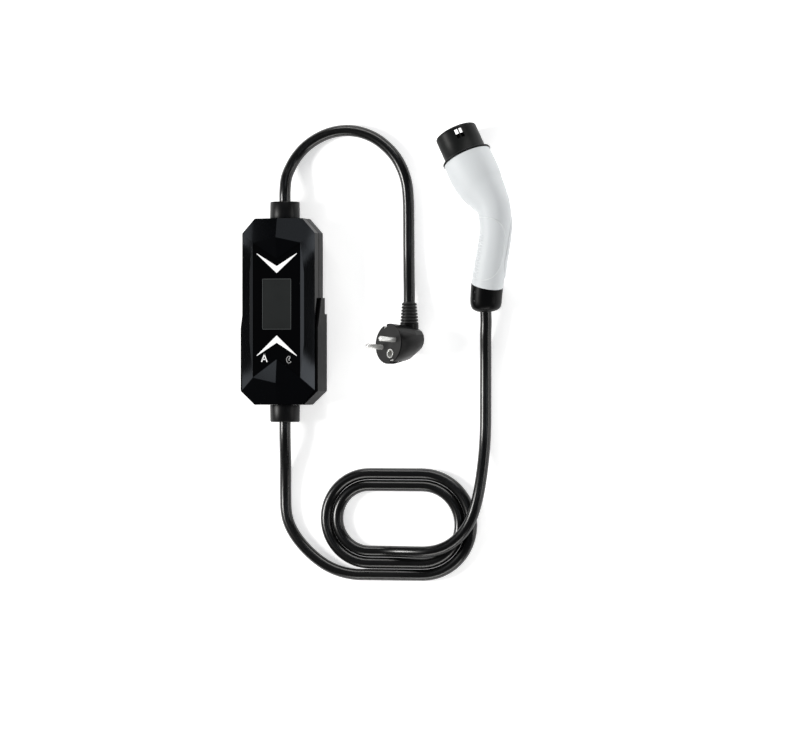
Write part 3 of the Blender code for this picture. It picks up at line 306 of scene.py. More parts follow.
# Routes of the free cords, as in the solids
UPPER_ROUTE = (
    (0.0000, 0.1360, 0.0189), (0.0006, 0.1500, 0.0158),
    (0.0040, 0.1620, 0.0113), (0.0105, 0.1740, 0.0084), (0.0205, 0.1852, 0.0070),
    (0.0340, 0.1944, 0.0065), (0.0500, 0.2007, 0.0065), (0.0673, 0.2030, 0.0065),
    (0.0845, 0.2008, 0.0065), (0.1005, 0.1944, 0.0065), (0.1145, 0.1842, 0.0065),
    (0.1255, 0.1720, 0.0065), (0.1332, 0.1580, 0.0065), (0.1378, 0.1430, 0.0065),
    (0.1396, 0.1260, 0.0065), (0.1401, 0.1050, 0.0065), (0.1402, 0.0820, 0.0065),
    (0.1404, 0.0600, 0.0066), (0.1411, 0.0380, 0.0085),
)
LOWER_ROUTE = (
    (0.0000, -0.1360, 0.0189), (-0.0006, -0.1540, 0.0158),
    (-0.0016, -0.1720, 0.0110), (-0.0026, -0.1900, 0.0078), (-0.0029, -0.2080, 0.0065),
    (-0.0024, -0.2220, 0.0065), (0.0000, -0.2340, 0.0065), (0.0050, -0.2452, 0.0065),
    (0.0124, -0.2560, 0.0065), (0.0224, -0.2670, 0.0065), (0.0338, -0.2767, 0.0065),
    (0.0465, -0.2848, 0.0065), (0.0612, -0.2906, 0.0065), (0.0780, -0.2937, 0.0065),
)
RETURN_ROUTE = (
    (0.1120, 0.0000, 0.0066), (0.1260, 0.0000, 0.0092), (0.1400, 0.0000, 0.0134),
    (0.1530, 0.0000, 0.0170), (0.1650, 0.0004, 0.0193), (0.1770, 0.0026, 0.0198),
    (0.1890, 0.0076, 0.0198), (0.2000, 0.0157, 0.0198), (0.2092, 0.0264, 0.0198),
    (0.2160, 0.0390, 0.0198), (0.2208, 0.0535, 0.0198), (0.2242, 0.0690, 0.0188),
    (0.2262, 0.0860, 0.0158), (0.2274, 0.1040, 0.0116), (0.2281, 0.1230, 0.0080),
    (0.2284, 0.1430, 0.0065), (0.2285, 0.1700, 0.0065), (0.2286, 0.1960, 0.0066),
    (0.2291, 0.2200, 0.0086), (0.2300, 0.2420, 0.0124),
)


# Camera, floor and lights

def make_camera():
    lens = bpy.data.cameras.new("camera")
    lens.sensor_width = SENSOR_WIDTH
    lens.lens = SENSOR_WIDTH * VIEW_DISTANCE / VIEW_WIDTH
    lens.clip_end = CLIP_END
    camera = bpy.data.objects.new("camera", lens)
    away = Vector((math.sin(VIEW_LEAN), 0.0, math.cos(VIEW_LEAN)))
    camera.location = VIEW_TARGET + VIEW_DISTANCE * away
    camera.rotation_euler = (0.0, VIEW_LEAN, 0.0)
    bpy.context.scene.collection.objects.link(camera)
    bpy.context.scene.camera = camera


def soft_light(middle, name, azimuth, height, distance, size, power, tint):
    """A square light that looks at a point from an azimuth and a height above the floor."""
    lamp = bpy.data.lights.new(name, "AREA")
    lamp.shape = "RECTANGLE"
    lamp.size, lamp.size_y = size
    lamp.energy = power
    lamp.color = tint
    thing = bpy.data.objects.new(name, lamp)
    around, up = math.radians(azimuth), math.radians(height)
    away = Vector((math.cos(around) * math.cos(up), math.sin(around) * math.cos(up), math.sin(up)))
    thing.location = middle + distance * away
    thing.rotation_euler = away.to_track_quat("Z", "Y").to_euler()
    bpy.context.scene.collection.objects.link(thing)


def make_stage():
    """A pale floor under soft studio lights."""
    shape = bmesh.new()
    bmesh.ops.create_grid(shape, x_segments=2, y_segments=2, size=FLOOR_SIZE / 2)
    pale = finish("floor_white", FLOOR_TONE, FLOOR_ROUGH, bump=0.0, shift=0.02, shine=0.0)
    glow = pale.node_tree.nodes["Principled BSDF"]
    glow.inputs["Emission Color"].default_value = (1.0, 1.0, 1.0, 1.0)
    glow.inputs["Emission Strength"].default_value = FLOOR_GLOW
    floor = add_object("floor", shape, pale)
    floor.location = (VIEW_TARGET.x, VIEW_TARGET.y, -FLOOR_DROP)
    world = bpy.data.worlds.new("studio")
    world.use_nodes = True
    sky = world.node_tree.nodes["Background"]
    sky.inputs["Color"].default_value = WORLD_TINT
    sky.inputs["Strength"].default_value = WORLD_STRENGTH
    bpy.context.scene.world = world
    for light in LIGHTS:
        soft_light(VIEW_TARGET, *light)
    for light in GLEAMS:
        soft_light(BOX_MIDDLE, *light)
    bpy.context.scene.view_settings.view_transform = "Standard"


# Materials

def noise(tree, place, scale, detail):
    """The value of a noise in the piece's own space."""
    node = tree.nodes.new("ShaderNodeTexNoise")
    node.inputs["Scale"].default_value = scale
    node.inputs["Detail"].default_value = detail
    tree.links.new(place.outputs["Object"], node.inputs["Vector"])
    return node.outputs["Fac"]


def rescale(tree, value, low, high, result_low, result_high):
    """A value moved from one range to another, and held at its ends."""
    node = tree.nodes.new("ShaderNodeMapRange")
    node.inputs["From Min"].default_value = low
    node.inputs["From Max"].default_value = high
    node.inputs["To Min"].default_value = result_low
    node.inputs["To Max"].default_value = result_high
    tree.links.new(value, node.inputs["Value"])
    return node.outputs["Result"]


def finish(name, colour, rough, metal=0.0, grain=GRAIN_SCALE, bump=0.00002, spread=0.12, shift=0.18,
           shine=0.5, wall_shine=None):
    """A Principled finish whose tone and gloss vary faintly, with a fine moulded or drawn grain.

    shift and spread are the shares by which tone and gloss vary. shine is the specular level, and
    wall_shine is its level on upright faces, where that is another.
    """
    material = bpy.data.materials.new(name)
    material.use_nodes = True
    tree = material.node_tree
    shader = tree.nodes["Principled BSDF"]
    shader.inputs["Metallic"].default_value = metal
    shader.inputs["Specular IOR Level"].default_value = shine
    place = tree.nodes.new("ShaderNodeTexCoord")
    broad = noise(tree, place, BROAD_SCALE, BROAD_DETAIL)
    ramp = tree.nodes.new("ShaderNodeValToRGB")
    low, high = ramp.color_ramp.elements
    low.position, high.position = NOISE_LOW, NOISE_HIGH
    low.color = [part * (1 - shift) for part in colour] + [1.0]
    high.color = [min(1.0, part * (1 + shift)) for part in colour] + [1.0]
    tree.links.new(broad, ramp.inputs["Fac"])
    tree.links.new(ramp.outputs["Color"], shader.inputs["Base Color"])
    gloss = rescale(tree, broad, NOISE_LOW, NOISE_HIGH, rough * (1 - spread), rough * (1 + spread))
    tree.links.new(gloss, shader.inputs["Roughness"])
    if wall_shine is not None:
        parts = tree.nodes.new("ShaderNodeSeparateXYZ")
        tree.links.new(place.outputs["Normal"], parts.inputs["Vector"])
        sheen = rescale(tree, parts.outputs["Z"], WALL_SLOPE, FACET_SLOPE, wall_shine, shine)
        tree.links.new(sheen, shader.inputs["Specular IOR Level"])
    if bump:
        relief = tree.nodes.new("ShaderNodeBump")
        relief.inputs["Strength"].default_value = BUMP_STRENGTH
        relief.inputs["Distance"].default_value = bump
        tree.links.new(noise(tree, place, grain, GRAIN_DETAIL), relief.inputs["Height"])
        tree.links.new(relief.outputs["Normal"], shader.inputs["Normal"])
    return material


def paint_light_on_face(material, axis, colour):
    """Paints light on the faces that look along an axis: a lighter base colour, as on the plug's end."""
    tree = material.node_tree
    shader = tree.nodes["Principled BSDF"]
    plain = shader.inputs["Base Color"].links[0].from_socket
    place = tree.nodes.new("ShaderNodeTexCoord")
    along = tree.nodes.new("ShaderNodeVectorMath")
    along.operation = "DOT_PRODUCT"
    along.inputs[1].default_value = axis
    tree.links.new(place.outputs["Normal"], along.inputs[0])
    share = rescale(tree, along.outputs["Value"], FACE_EDGE, 1.0, 0.0, 1.0)
    mix = tree.nodes.new("ShaderNodeMix")
    mix.data_type = "RGBA"
    tree.links.new(share, mix.inputs["Factor"])
    tree.links.new(plain, mix.inputs["A"])
    mix.inputs["B"].default_value = (*colour, 1.0)
    tree.links.new(mix.outputs["Result"], shader.inputs["Base Color"])


def make_finishes():
    """Every slot's finish by name."""
    return {
        "case": finish("case_black", (0.0006, 0.0007, 0.0010), 0.10, bump=0.0, shine=0.45,
                       wall_shine=0.03),
        "back": finish("back_black", (0.0028, 0.003, 0.0036), 0.38, bump=0.00001, shine=0.06),
        "grip": finish("grip_black", (0.003, 0.003, 0.0034), 0.45, bump=0.00002, shine=0.06),
        "panel": finish("panel_gloss", (0.0006, 0.0006, 0.0008), 0.07, bump=0.0, spread=0.05, shine=0.4),
        "display": finish("display_grey", (0.019, 0.0205, 0.0205), 0.12, bump=0.0, shine=0.3),
        "light": finish("light_white", (0.97, 0.97, 0.97), 0.35, bump=0.0, shift=0.01),
        # The line round the finger pad is a raised bead; its colour, lighter than the shell, is a painted
        # highlight of its edge
        "line": finish("pad_line_painted_highlight", (0.78, 0.8, 0.81), 0.5, bump=0.0, shift=0.01, shine=0.35),
        "print": finish("print_grey", (0.5, 0.5, 0.5), 0.5, bump=0.0, shift=0.01),
        "rim": finish("rim_grey", (0.075, 0.08, 0.08), 0.3, bump=0.0, shine=0.3),
        "rubber": finish("rubber_black", (0.010, 0.010, 0.010), 0.42, bump=0.00002, shine=0.4),
        "gland": finish("gland_black", (0.003, 0.003, 0.0034), 0.38, bump=0.000015, shine=0.2),
        "cord": finish("cord_black", (0.002, 0.002, 0.002), 0.26, grain=CORD_GRAIN_SCALE, shine=0.5),
        "board": finish("board_green", (0.02, 0.12, 0.05), 0.4),
        "relay": finish("relay_blue", (0.03, 0.08, 0.25), 0.35),
        "steel": finish("bright_plating", (0.86, 0.86, 0.84), 0.26, metal=0.7, bump=0.000008, shift=0.05),
        "dark_steel": finish("blackened_steel", (0.03, 0.03, 0.032), 0.35, metal=1.0, bump=0.000008),
        "brass": finish("brass", (0.72, 0.55, 0.26), 0.28, metal=1.0, bump=0.000008, shift=0.06),
        "shell": finish("shell_white", (0.66, 0.685, 0.70), 0.5, bump=0.000006, shift=0.012, shine=0.35),
        "head": finish("head_black", (0.0065, 0.0072, 0.007), 0.4, bump=0.000015, shine=0.12),
        "cap": finish("cap_black", (0.0018, 0.0018, 0.002), 0.34, bump=0.000015, shine=0.12),
        "carrier": finish("carrier_black", (0.0012, 0.0012, 0.0013), 0.6, bump=0.00003, shine=0.1),
        "plug": finish("plug_black", (0.003, 0.003, 0.003), 0.3, bump=0.00001, shine=0.14),
    }


# Tools

def add_object(name, shape, material=None, smooth=None):
    """A mesh object from a bmesh, smooth up to an angle where one is given."""
    bmesh.ops.recalc_face_normals(shape, faces=shape.faces)
    mesh = bpy.data.meshes.new(name)
    shape.to_mesh(mesh)
    shape.free()
    thing = bpy.data.objects.new(name, mesh)
    bpy.context.scene.collection.objects.link(thing)
    if material:
        mesh.materials.append(material)
    if smooth:
        mesh.shade_smooth()
        mesh.set_sharp_from_angle(angle=math.radians(smooth))
    return thing


def add_rings(shape, rings):
    """Skins rings of equally many points and closes both ends."""
    rows = [[shape.verts.new(point) for point in ring] for ring in rings]
    for first, second in zip(rows, rows[1:]):
        for here in range(len(first)):
            after = (here + 1) % len(first)
            shape.faces.new((first[here], first[after], second[after], second[here]))
    shape.faces.new(rows[0])
    shape.faces.new(rows[-1])


def circle(radius, height, steps):
    """Points round Z at a height."""
    turns = [2 * math.pi * at / steps for at in range(steps)]
    return [(radius * math.cos(turn), radius * math.sin(turn), height) for turn in turns]


def turned(name, profile, material, seat, steps=ROUND_STEPS, smooth=TURNED_SMOOTH):
    """A turned solid about Z from a profile of radius and height, closed flat at both ends."""
    shape = bmesh.new()
    add_rings(shape, [circle(radius, height, steps) for radius, height in profile])
    shape.transform(seat)
    return add_object(name, shape, material, smooth)


def round_edges(thing, width, angle):
    """Bevels the edges over an angle in degrees, and keeps the flats flat."""
    bevel = thing.modifiers.new("edges", "BEVEL")
    bevel.width = width
    bevel.segments = EDGE_SEGMENTS
    bevel.limit_method = "ANGLE"
    bevel.angle_limit = math.radians(angle)
    bevel.miter_outer = "MITER_ARC"
    bevel.use_clamp_overlap = True
    weighted = thing.modifiers.new("flats", "WEIGHTED_NORMAL")
    weighted.keep_sharp = False
    weighted.weight = 100


def dress_node(name, material):
    """Gives a CAD node its finish."""
    node = nodes[name]
    node.data.materials.clear()
    node.data.materials.append(material)
    return node


def dress_nodes(looks):
    """Finishes for the CAD nodes that stay, and rounded edges once their flats are whole again."""
    for name, slot in PLAIN_NODES.items():
        dress_node(name, looks[slot])
    for name, (slot, edge, angle) in ROUNDED_NODES.items():
        node = dress_node(name, looks[slot])
        weld = node.modifiers.new("weld", "WELD")
        weld.merge_threshold = WELD_DISTANCE
        flats = node.modifiers.new("whole_flats", "DECIMATE")
        flats.decimate_type = "DISSOLVE"
        flats.angle_limit = FLAT_ANGLE
        round_edges(node, edge, angle)


def cut_now(thing, others):
    """Cuts others out of thing and applies it, so that no helper is left."""
    for other in others:
        boolean = thing.modifiers.new("cut", "BOOLEAN")
        boolean.operation = "DIFFERENCE"
        boolean.solver = "MANIFOLD"
        boolean.object = other
    bpy.context.view_layer.update()
    graph = bpy.context.evaluated_depsgraph_get()
    mesh = bpy.data.meshes.new_from_object(thing.evaluated_get(graph))
    thing.modifiers.clear()
    thing.data = mesh
    for other in others:
        bpy.data.objects.remove(other)


def attach(piece, slot, *replaced):
    """A piece rides on the part and stands for CAD nodes. Its slot is not used."""
    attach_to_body(piece, "root")
    if replaced:
        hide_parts(*replaced)
    return piece


def fill_curve(knots, pieces):
    """A dense line through all knots but the first and last, which only give it its direction."""
    fine = []
    for before, start, end, after in zip(knots, knots[1:], knots[2:], knots[3:]):
        span = (end - start).length
        leave = (end - before) * span / ((start - before).length + span)
        arrive = (after - start) * span / ((after - end).length + span)
        for piece in range(pieces):
            t = piece / pieces
            fine.append(
                start * (2 * t**3 - 3 * t**2 + 1) + leave * (t**3 - 2 * t**2 + t)
                + end * (3 * t**2 - 2 * t**3) + arrive * (t**3 - t**2)
            )
    fine.append(knots[-2])
    return fine


def smooth_path(points, step):
    """Evenly spaced points on a smooth curve through the given ones."""
    knots = [Vector(point) for point in points]
    knots.insert(0, 2 * knots[0] - knots[1])
    knots.append(2 * knots[-1] - knots[-2])
    return even_points(fill_curve(knots, ROUTE_PIECES), step)


def even_points(fine, step):
    """Points at even steps along a dense line."""
    lengths = [0.0]
    for first, second in zip(fine, fine[1:]):
        lengths.append(lengths[-1] + (second - first).length)
    count = max(2, round(lengths[-1] / step))
    path = []
    at = 0
    for index in range(count + 1):
        along = lengths[-1] * index / count
        while at < len(lengths) - 2 and lengths[at + 1] < along:
            at += 1
        share = (along - lengths[at]) / max(lengths[at + 1] - lengths[at], 1e-9)
        path.append(fine[at].lerp(fine[at + 1], share))
    return path


def path_length(path):
    return sum((second - first).length for first, second in zip(path, path[1:]))


# Cords

def cord_curve(name, path, material, radius=CORD_RADIUS, roundness=CORD_ROUNDNESS):
    """A round cord along a path."""
    curve = bpy.data.curves.new(name, "CURVE")
    curve.dimensions = "3D"
    curve.bevel_depth = radius
    curve.bevel_resolution = roundness
    curve.use_fill_caps = True
    spline = curve.splines.new("POLY")
    spline.points.add(len(path) - 1)
    for knot, point in zip(spline.points, path):
        knot.co = (*point, 1.0)
    spline.use_smooth = True
    curve.materials.append(material)
    thing = bpy.data.objects.new(name, curve)
    bpy.context.scene.collection.objects.link(thing)
    return thing


def coil_points():
    """The coil from where the cord comes in to where it leaves: straights and ever tighter half turns."""
    front = COIL_FRONT_Y
    points = [Vector((COIL_LEFT_X, front, CORD_RADIUS))]
    for number in range(COIL_HALF_TURNS):
        radius = COIL_OUTER_RADIUS - number * COIL_PITCH / 2
        right = number % 2 == 0
        middle_x = COIL_RIGHT_X if right else COIL_LEFT_X
        middle_y = COIL_FRONT_Y + COIL_OUTER_RADIUS + (0.0 if right else COIL_PITCH / 2)
        start = -math.pi / 2 if right else math.pi / 2
        for step in range(COIL_ARC_STEPS + 1):
            turn = start + math.pi * step / COIL_ARC_STEPS
            x, y = middle_x + radius * math.cos(turn), middle_y + radius * math.sin(turn)
            points.append(Vector((x, y, CORD_RADIUS)))
    points.append(Vector((COIL_EXIT_X, front + 2 * COIL_PITCH, CORD_RADIUS)))
    return points


def make_cords(looks, plug_seat, handset_seat):
    """The cord to the plug, and the long one that coils on its way to the handset."""
    relief_end = NECK_END + RELIEF_LENGTH + GAP
    inside_relief = plug_seat @ Vector((0.0, relief_end - CORD_INSIDE, -PLUG_CORD_DEPTH))
    before_plug = plug_seat @ Vector((0.0, relief_end + 2 * CORD_RADIUS, -PLUG_CORD_DEPTH))
    upper = [(0.0, GLAND_FACE - CORD_INSIDE, GLAND_Z), *UPPER_ROUTE, before_plug, inside_relief]
    path = smooth_path(upper, CORD_STEP)
    plug_cord = attach(cord_curve("plug_cord_sheath", path, looks["cord"]), "cord", "plug_cord")

    lower = [(0.0, -GLAND_FACE + CORD_INSIDE, GLAND_Z), *LOWER_ROUTE]
    way_in = smooth_path(lower + [(COIL_LEFT_X, COIL_FRONT_Y, CORD_RADIUS)], CORD_STEP)
    last_front = COIL_FRONT_Y + 2 * COIL_PITCH
    before_cap = handset_seat @ Vector((0.0, -2 * CORD_RADIUS, 0.0))
    inside_cap = handset_seat @ Vector((0.0, CORD_INSIDE, 0.0))
    way_out = [(COIL_EXIT_X, last_front, CORD_RADIUS)]
    way_out += [(x, last_front + y, z) for x, y, z in RETURN_ROUTE] + [before_cap, inside_cap]
    way_out = smooth_path(way_out, CORD_STEP)
    path = even_points(way_in[:-1] + coil_points()[:-1] + way_out, CORD_STEP)
    long_cord = cord_curve("handset_cord_sheath", path, looks["cord"])
    attach(long_cord, "cord", "coil_cord", "cord_coil", "handset_cord")


# Handset

def spine_frame(stations, count, first_lean, last_lean):
    """Evenly spaced stations on a smooth curve: middle, direction across, half width and half depth."""
    rows = [Vector(station) for station in stations]
    start = Vector((-math.sin(first_lean), math.cos(first_lean), 0.0, 0.0))
    end = Vector((-math.sin(last_lean), math.cos(last_lean), 0.0, 0.0))
    rows.insert(0, rows[0] - start * (rows[1] - rows[0]).length)
    rows.append(rows[-1] + end * (rows[-1] - rows[-2]).length)
    fine = fill_curve(rows, SPINE_PIECES)
    even = even_points(fine, path_length(fine) / count)
    frames = []
    for at, row in enumerate(even):
        before = even[max(at - 1, 0)]
        after = even[min(at + 1, len(even) - 1)]
        along = (after - before).to_2d().normalized()
        if at == 0:
            along = start.to_2d()
        if at == len(even) - 1:
            along = end.to_2d()
        frames.append((Vector((row.x, row.y, 0.0)), Vector((along.y, -along.x, 0.0)), row.z, row.w))
    return frames


def soft_step(value):
    """From 0 to 1, smoothly."""
    value = min(1.0, max(0.0, value))
    return value * value * (3 - 2 * value)


def pad_relief(along, turn):
    """How far the grip's surface stands out at a length along the spine and a turn round it."""
    side = abs((turn - PAD_SIDE + math.pi) % (2 * math.pi) - math.pi)
    reach = abs((along - PAD_MIDDLE_Y) / PAD_HALF_LENGTH) ** PAD_SHAPE + (side / PAD_HALF_TURN) ** PAD_SHAPE
    distance = reach ** (1 / PAD_SHAPE) - 1.0
    height = PAD_HEIGHT * soft_step(0.5 - distance / PAD_EDGE)
    if RIB_START_Y <= along <= RIB_END_Y:
        wave = 0.5 + 0.5 * math.cos(2 * math.pi * (along - RIB_START_Y) / RIB_PITCH)
        fade = soft_step((RIB_HALF_TURN - side) / RIB_FADE_TURN)
        height += RIB_HEIGHT * wave**2 * fade
    return height


def outline_point(middle, across, width, depth, turn):
    """A point at a turn round an oval station of the handset."""
    return middle + across * width * math.cos(turn) + UP * depth * math.sin(turn)


def make_handset_shells(looks, seat):
    """Two half shells with the raised finger pad and its ribs, and the line round the pad."""
    stations = spine_frame(GRIP_STATIONS, SHELL_ROWS, CAP_LEAN, HEAD_LEAN)
    for name, start in (("upper", SEAM_TURN), ("lower", SEAM_TURN + math.pi)):
        rings = []
        for middle, across, width, depth in stations:
            apart = start + math.pi / 2
            middle_here = middle + GAP / 2 * (across * math.cos(apart) + UP * math.sin(apart))
            ring = []
            for step in range(SHELL_STEPS + 1):
                turn = start + math.pi * step / SHELL_STEPS
                reach = pad_relief(middle.y, turn)
                ring.append(outline_point(middle_here, across, width + reach, depth + reach, turn))
            for step in range(SHELL_INNER_STEPS, -1, -1):
                turn = start + math.pi * step / SHELL_INNER_STEPS
                ring.append(outline_point(middle_here, across, width - SHELL_WALL, depth - SHELL_WALL,
                                          turn))
            rings.append(ring)
        shape = bmesh.new()
        add_rings(shape, rings)
        shape.transform(seat)
        shell = add_object(f"handset_{name}_shell", shape, looks["shell"], SHELL_SMOOTH)
        attach(shell, "shell", f"handset_shell_{name}")
    make_pad_line(looks, seat, stations)


def make_pad_line(looks, seat, stations):
    """The fine raised line round the finger pad. Its colour, lighter than the shell, is a painted
    highlight.
    """
    reach = PAD_HEIGHT / 2 + GAP / 2
    path = []
    for step in range(PAD_LINE_STEPS):
        round_turn = 2 * math.pi * step / PAD_LINE_STEPS
        along = math.copysign(abs(math.cos(round_turn)) ** (2 / PAD_SHAPE), math.cos(round_turn))
        side = math.copysign(abs(math.sin(round_turn)) ** (2 / PAD_SHAPE), math.sin(round_turn))
        place = PAD_MIDDLE_Y + PAD_HALF_LENGTH * along
        turn = PAD_SIDE + PAD_HALF_TURN * side
        middle, across, width, depth = min(stations, key=lambda station: abs(station[0].y - place))
        path.append(seat @ outline_point(middle, across, width + reach, depth + reach, turn))
    line = cord_curve("finger_pad_line", path, looks["line"], PAD_LINE_RADIUS, PAD_LINE_ROUNDNESS)
    line.data.splines[0].use_cyclic_u = True
    attach(line, "shell")


def make_end_cap(looks, seat):
    """The black cap with a fine step where it meets the shells, and the mouth that the cord goes into."""
    turns = [2 * math.pi * at / ROUND_STEPS for at in range(ROUND_STEPS)]
    rings = [[outline_point(*station, turn) for turn in turns]
             for station in spine_frame(CAP_STATIONS, CAP_ROWS, 0.0, CAP_LEAN)]
    mouth = [Vector((CORD_MOUTH * math.cos(turn), 0.0, CORD_MOUTH * math.sin(turn))) for turn in turns]
    floor = [point + Vector((0.0, MOUTH_DEPTH, 0.0)) for point in mouth]
    shape = bmesh.new()
    add_rings(shape, [floor, mouth] + rings)
    shape.transform(seat)
    cap = add_object("handset_cap", shape, looks["cap"])
    holes = []
    for x, y in CAP_SCREWS:
        out = seat @ Matrix.Translation((x, y, 0.0)) @ Matrix.Rotation(CAP_SCREW_TURN, 4, "Y")
        holes.append(turned("screw_hole", CAP_HOLE, None, out, CAP_HOLE_STEPS))
        screw = turned(f"cap_screw_head_{len(holes)}", CAP_SCREW_PROFILE, looks["dark_steel"], out,
                       CAP_SCREW_STEPS)
        attach(screw, "steel", f"cap_screw_{len(holes)}")
    cut_now(cap, holes)
    cap.data.shade_smooth()
    cap.data.set_sharp_from_angle(angle=math.radians(HEAD_SMOOTH))
    attach(cap, "head", "handset_end_cap")


def head_seat(seat):
    """Z runs along the connector head's axis from the flange, and Y out of the handset's side."""
    x, y = GRIP_STATIONS[-1][:2]
    stand = Matrix.Rotation(math.radians(-90), 4, "X") @ Matrix.Rotation(math.radians(180), 4, "Z")
    return seat @ Matrix.Translation((x, y, 0.0)) @ Matrix.Rotation(HEAD_LEAN, 4, "Z") @ stand


def shroud_turns():
    """Turns round the shroud, with the windows' edges among them, and whether a window follows each."""
    middle = math.pi / 2 + WINDOW_TURN
    apart = WINDOW_SPACING / 2 / HEAD_RADIUS
    half = WINDOW_WIDTH / 2 / HEAD_RADIUS
    spans = [(middle + side * apart - half, middle + side * apart + half) for side in (-1, 1)]
    edges = [edge for span in spans for edge in span]
    turns = [2 * math.pi * step / HEAD_STEPS for step in range(HEAD_STEPS)]
    turns = [turn for turn in turns if all(abs(turn - edge) > EDGE_CLEARANCE for edge in edges)]
    turns = sorted(turns + edges)
    slack = EDGE_CLEARANCE / 2
    opened = [any(low - slack < turn < high - slack for low, high in spans) for turn in turns]
    return turns, opened


def shroud_mesh(profile, low, high):
    """A turned shroud whose wall is left open at the windows, between its rings at two heights."""
    turns, opened = shroud_turns()
    shape = bmesh.new()
    rows = [
        [shape.verts.new((radius * math.cos(turn), radius * math.sin(turn), height)) for turn in turns]
        for radius, height in profile
    ]
    inner_low, inner_high, outer_high, outer_low = [
        row for row, (_, height) in zip(rows, profile) if height in (low, high)
    ]
    for first, second in zip(rows, rows[1:]):
        in_wall = first is inner_low or first is outer_high
        for here in range(len(turns)):
            after = (here + 1) % len(turns)
            if in_wall and opened[here]:
                continue
            shape.faces.new((first[here], first[after], second[after], second[here]))
    shape.faces.new(rows[0])
    shape.faces.new(rows[-1])
    for here in range(len(turns)):
        after = (here + 1) % len(turns)
        if opened[here]:
            for inner, outer in ((inner_low, outer_low), (inner_high, outer_high)):
                shape.faces.new((inner[here], inner[after], outer[after], outer[here]))
        if opened[here] != opened[here - 1]:
            shape.faces.new((inner_low[here], inner_high[here], outer_high[here], outer_low[here]))
    return shape


def make_head(looks, seat):
    """The round shroud with rounded rims, its flange and its two locking windows."""
    axis = head_seat(seat)
    rim = GAP + HEAD_LENGTH
    bore = HEAD_RADIUS - HEAD_WALL
    front = GAP + FLANGE_THICKNESS
    high = rim - WINDOW_NEAR_RIM
    low = high - WINDOW_LENGTH
    profile = [
        (bore, HEAD_FLOOR), (bore, low), (bore, high),
        *[(bore + inward, rim - down) for inward, down in MOUTH_ROUNDING],
        *[(HEAD_RADIUS - inward, rim - down) for inward, down in RIM_ROUNDING],
        (HEAD_RADIUS, high), (HEAD_RADIUS, low),
        *[(HEAD_RADIUS + outward, front + up) for outward, up in HEAD_FILLET],
        *[(FLANGE_RADIUS - inward, front - down) for inward, down in FLANGE_ROUNDING],
        *[(FLANGE_RADIUS - inward, GAP + up) for inward, up in FLANGE_BACK_ROUNDING],
        (HEAD_RADIUS, GAP), (HEAD_RADIUS, -SPIGOT_LENGTH),
    ]
    shape = shroud_mesh(profile, low, high)
    shape.transform(axis)
    head = add_object("connector_shroud", shape, looks["head"], HEAD_SMOOTH)
    attach(head, "head", "connector_head")


# Mains plug

def plug_frame():
    """Z points out of the plug's face, and Y towards the cord."""
    turn = Matrix.Rotation(PLUG_TURN, 4, "Z") @ Matrix.Rotation(PLUG_LEAN, 4, "Y")
    return Matrix.Translation(PLUG_FACE) @ turn @ Matrix.Rotation(-PLUG_YAW, 4, "X")


def make_plug(looks, seat):
    """The plug's face with painted light, and the ribbed sleeve on its cord. Gives all pieces that are on
    the cord.
    """
    # Painted light: the plug's end face gets a lighter base colour than the rest of its body
    paint_light_on_face(looks["plug"], seat.to_3x3() @ UP, PAINTED_FACE_LIGHT)
    start = NECK_END + GAP
    rib = RELIEF_LENGTH / (RELIEF_RIBS + 1)
    profile = [(NECK_RADIUS - RELIEF_START_STEP, start)]
    for number in range(RELIEF_RIBS + 1):
        for share, sink in RELIEF_GROOVE:
            along = (number + share) * rib
            taper = NECK_RADIUS - (NECK_RADIUS - RELIEF_END_RADIUS) * along / RELIEF_LENGTH
            profile.append((taper - sink, start + along))
    end = profile[-1][1]
    profile += [(CORD_MOUTH, end), (CORD_MOUTH, end - MOUTH_DEPTH)]
    turn = seat @ Matrix.Translation((0.0, 0.0, -PLUG_CORD_DEPTH))
    turn @= Matrix.Rotation(math.radians(-90), 4, "X")
    relief = turned("strain_relief", profile, looks["rubber"], turn, RELIEF_STEPS, RELIEF_SMOOTH)
    attach(relief, "rubber", "plug_strain_relief")
    return [nodes["plug_body"], relief] + [nodes[name] for name in PLUG_METAL]


# Print and glands on the control box

def strokes(name, lines, width, material):
    """Thin print on the panel: a flat bar along each piece of each line."""
    shape = bmesh.new()
    for line in lines:
        for first, second in zip(line, line[1:]):
            start, end = Vector(first), Vector(second)
            middle = (start + end) / 2
            along = end - start
            seat = Matrix.Translation((middle.x, middle.y, PANEL_TOP + PRINT_HEIGHT))
            seat @= Matrix.Rotation(math.atan2(along.y, along.x), 4, "Z")
            size = Matrix.Diagonal((along.length + width * STROKE_OVERLAP, width, PRINT_HEIGHT, 1.0))
            bmesh.ops.create_cube(shape, size=1.0, matrix=seat @ size)
    return add_object(name, shape, material)


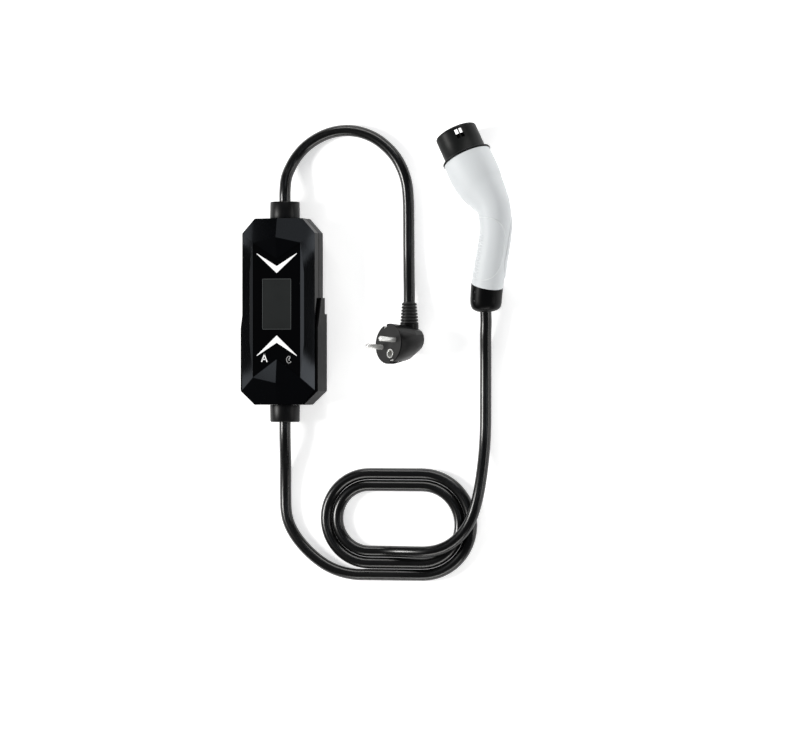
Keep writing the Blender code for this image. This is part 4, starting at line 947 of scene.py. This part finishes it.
def make_marks(looks):
    """The letter for current, the small clock and the pale rim of the display."""
    x, y = LETTER_PLACE
    foot, rise, bar = LETTER_HALF_WIDTH, LETTER_HALF_HEIGHT, LETTER_BAR_Y
    letter = [[(x - foot, y - rise), (x, y + rise), (x + foot, y - rise)],
              [(x - foot * LETTER_BAR_SHARE, y + bar), (x + foot * LETTER_BAR_SHARE, y + bar)]]
    attach(strokes("current_letter", letter, LETTER_STROKE, looks["light"]), "light")
    x, y = CLOCK_PLACE
    dial = []
    for step in range(CLOCK_STEPS + 1):
        turn = CLOCK_START + (CLOCK_END - CLOCK_START) * step / CLOCK_STEPS
        dial.append((x + CLOCK_HALF_WIDTH * math.cos(turn), y + CLOCK_HALF_HEIGHT * math.sin(turn)))
    hand = [(x + across, y + up) for across, up in CLOCK_HAND]
    attach(strokes("clock_mark", [dial, hand], CLOCK_STROKE, looks["print"]), "light")
    half = DISPLAY_WIDTH / 2
    rim = [[(-half, DISPLAY_BOTTOM), (half, DISPLAY_BOTTOM), (half, DISPLAY_TOP), (-half, DISPLAY_TOP),
            (-half, DISPLAY_BOTTOM)]]
    attach(strokes("display_rim", rim, RIM_STROKE, looks["rim"]), "display")


def make_glands(looks):
    """Collars at both ends of the box, with the mouths that the cords go into."""
    for end, turn in (("upper", -90), ("lower", 90)):
        profile = [
            (CORD_MOUTH, GLAND_FACE - MOUTH_DEPTH), (CORD_MOUTH, GLAND_FACE - GLAND_MOUTH_EDGE),
            (CORD_MOUTH + GLAND_MOUTH_EDGE, GLAND_FACE),
            *[(GLAND_RADIUS - inward, GLAND_FACE - back) for inward, back in GLAND_ROUNDING],
            *[(GLAND_RADIUS - inward, BOX_END + out) for inward, out in GLAND_FOOT],
            (GLAND_STEM_RADIUS, BOX_END + GAP), (GLAND_STEM_RADIUS, BOX_END - GLAND_STEM_LENGTH),
        ]
        seat = Matrix.Translation((0.0, 0.0, GLAND_Z)) @ Matrix.Rotation(math.radians(turn), 4, "X")
        gland = turned(f"{end}_gland_collar", profile, looks["gland"], seat)
        attach(gland, "gland", f"{end}_gland")


def main():
    make_camera()
    looks = make_finishes()
    handset_seat = Matrix.Translation(HANDSET_PLACE) @ Matrix.Rotation(HANDSET_TURN, 4, "Z")
    handset_seat @= Matrix.Rotation(HANDSET_TILT, 4, "X") @ Matrix.Rotation(HANDSET_ROLL, 4, "Y")
    plug_seat = plug_frame()
    plug_pieces = make_plug(looks, plug_seat)
    make_cords(looks, plug_seat, handset_seat)
    make_stage()
    dress_nodes(looks)
    make_marks(looks)
    make_glands(looks)
    make_handset_shells(looks, handset_seat)
    make_end_cap(looks, handset_seat)
    make_head(looks, handset_seat)


main()
